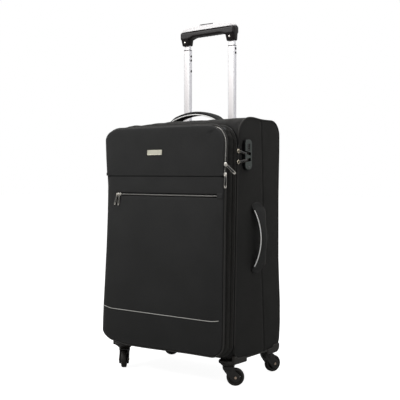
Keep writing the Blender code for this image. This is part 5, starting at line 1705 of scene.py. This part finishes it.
# =============================================================== stage, light, camera
def backdrop():
    m, nt, b = tree("pale_floor")
    tc = node(nt, "ShaderNodeTexCoord")
    g = node(nt, "ShaderNodeTexNoise", inputs={"Scale": 3.0, "Detail": 2.0})
    nt.links.new(tc.outputs["Object"], g.inputs["Vector"])
    col = ramp(nt, g.outputs["Fac"], [(0.3, (0.50, 0.50, 0.50)), (0.7, (0.53, 0.53, 0.53))])
    nt.links.new(col, b.inputs["Base Color"])
    b.inputs["Roughness"].default_value = 0.9
    b.inputs["Specular IOR Level"].default_value = 0.1
    lp_ = node(nt, "ShaderNodeLightPath")
    b.inputs["Emission Color"].default_value = (1, 1, 1, 1)
    nt.links.new(math_node(nt, "MULTIPLY", lp_.outputs["Is Camera Ray"], 0.935), b.inputs["Emission Strength"])
    me = bpy.data.meshes.new("floor")
    s_ = 14.0
    me.from_pydata([(-s_, -s_, 0), (s_, -s_, 0), (s_, s_, 0), (-s_, s_, 0)], [], [(0, 1, 2, 3)])
    ob_ = bpy.data.objects.new("floor", me)
    bpy.context.scene.collection.objects.link(ob_)
    me.materials.append(m)


backdrop()
w = bpy.data.worlds.new("studio")
bpy.context.scene.world = w
w.use_nodes = True
wt = w.node_tree
lp = node(wt, "ShaderNodeLightPath")
# white sweep behind the object, softer wrap light on the object itself
level = math_node(wt, "MAXIMUM", lp.outputs["Is Camera Ray"], math_node(wt, "MAXIMUM", math_node(wt, "MULTIPLY", lp.outputs["Is Glossy Ray"], 0.80), 0.24))
wt.nodes["Background"].inputs[0].default_value = (1, 1, 1, 1)
wt.links.new(level, wt.nodes["Background"].inputs[1])


def area(name, at, target, size, power, size_y=None):
    l = bpy.data.lights.new(name, "AREA")
    l.shape = "RECTANGLE"
    l.size, l.size_y, l.energy = size, size_y or size, power
    o = bpy.data.objects.new(name, l)
    bpy.context.scene.collection.objects.link(o)
    o.location = at
    o.rotation_euler = (Vector(target) - Vector(at)).to_track_quat("-Z", "Y").to_euler()
    return o


area("key", (-0.9, -1.5, 1.75), (0, 0, 0.62), 1.0, 27)
area("fill", (2.4, -0.8, 1.7), (0, 0, 0.62), 1.2, 12)
area("top", (0.1, 0.2, 2.4), (0, 0, 0.6), 1.6, 24)

cam = bpy.data.cameras.new("camera")
co = bpy.data.objects.new("camera", cam)
bpy.context.scene.collection.objects.link(co)
az, el = radians(37.32), radians(1.968)
co.location = (1.4294 + SX, -1.8549 + SY, 0.5612)
back = Vector((sin(az) * cos(el), -cos(az) * cos(el), sin(el)))
co.rotation_euler = (-back).to_track_quat("-Z", "Y").to_euler()
cam.sensor_width = 36.0
cam.lens = 826.8 / 400 * 36.0
cam.clip_end = 100
bpy.context.scene.camera = co
bpy.context.scene.view_settings.view_transform = "Standard"
bpy.context.scene.view_settings.look = "None"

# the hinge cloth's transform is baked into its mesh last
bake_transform(hinge_strip)
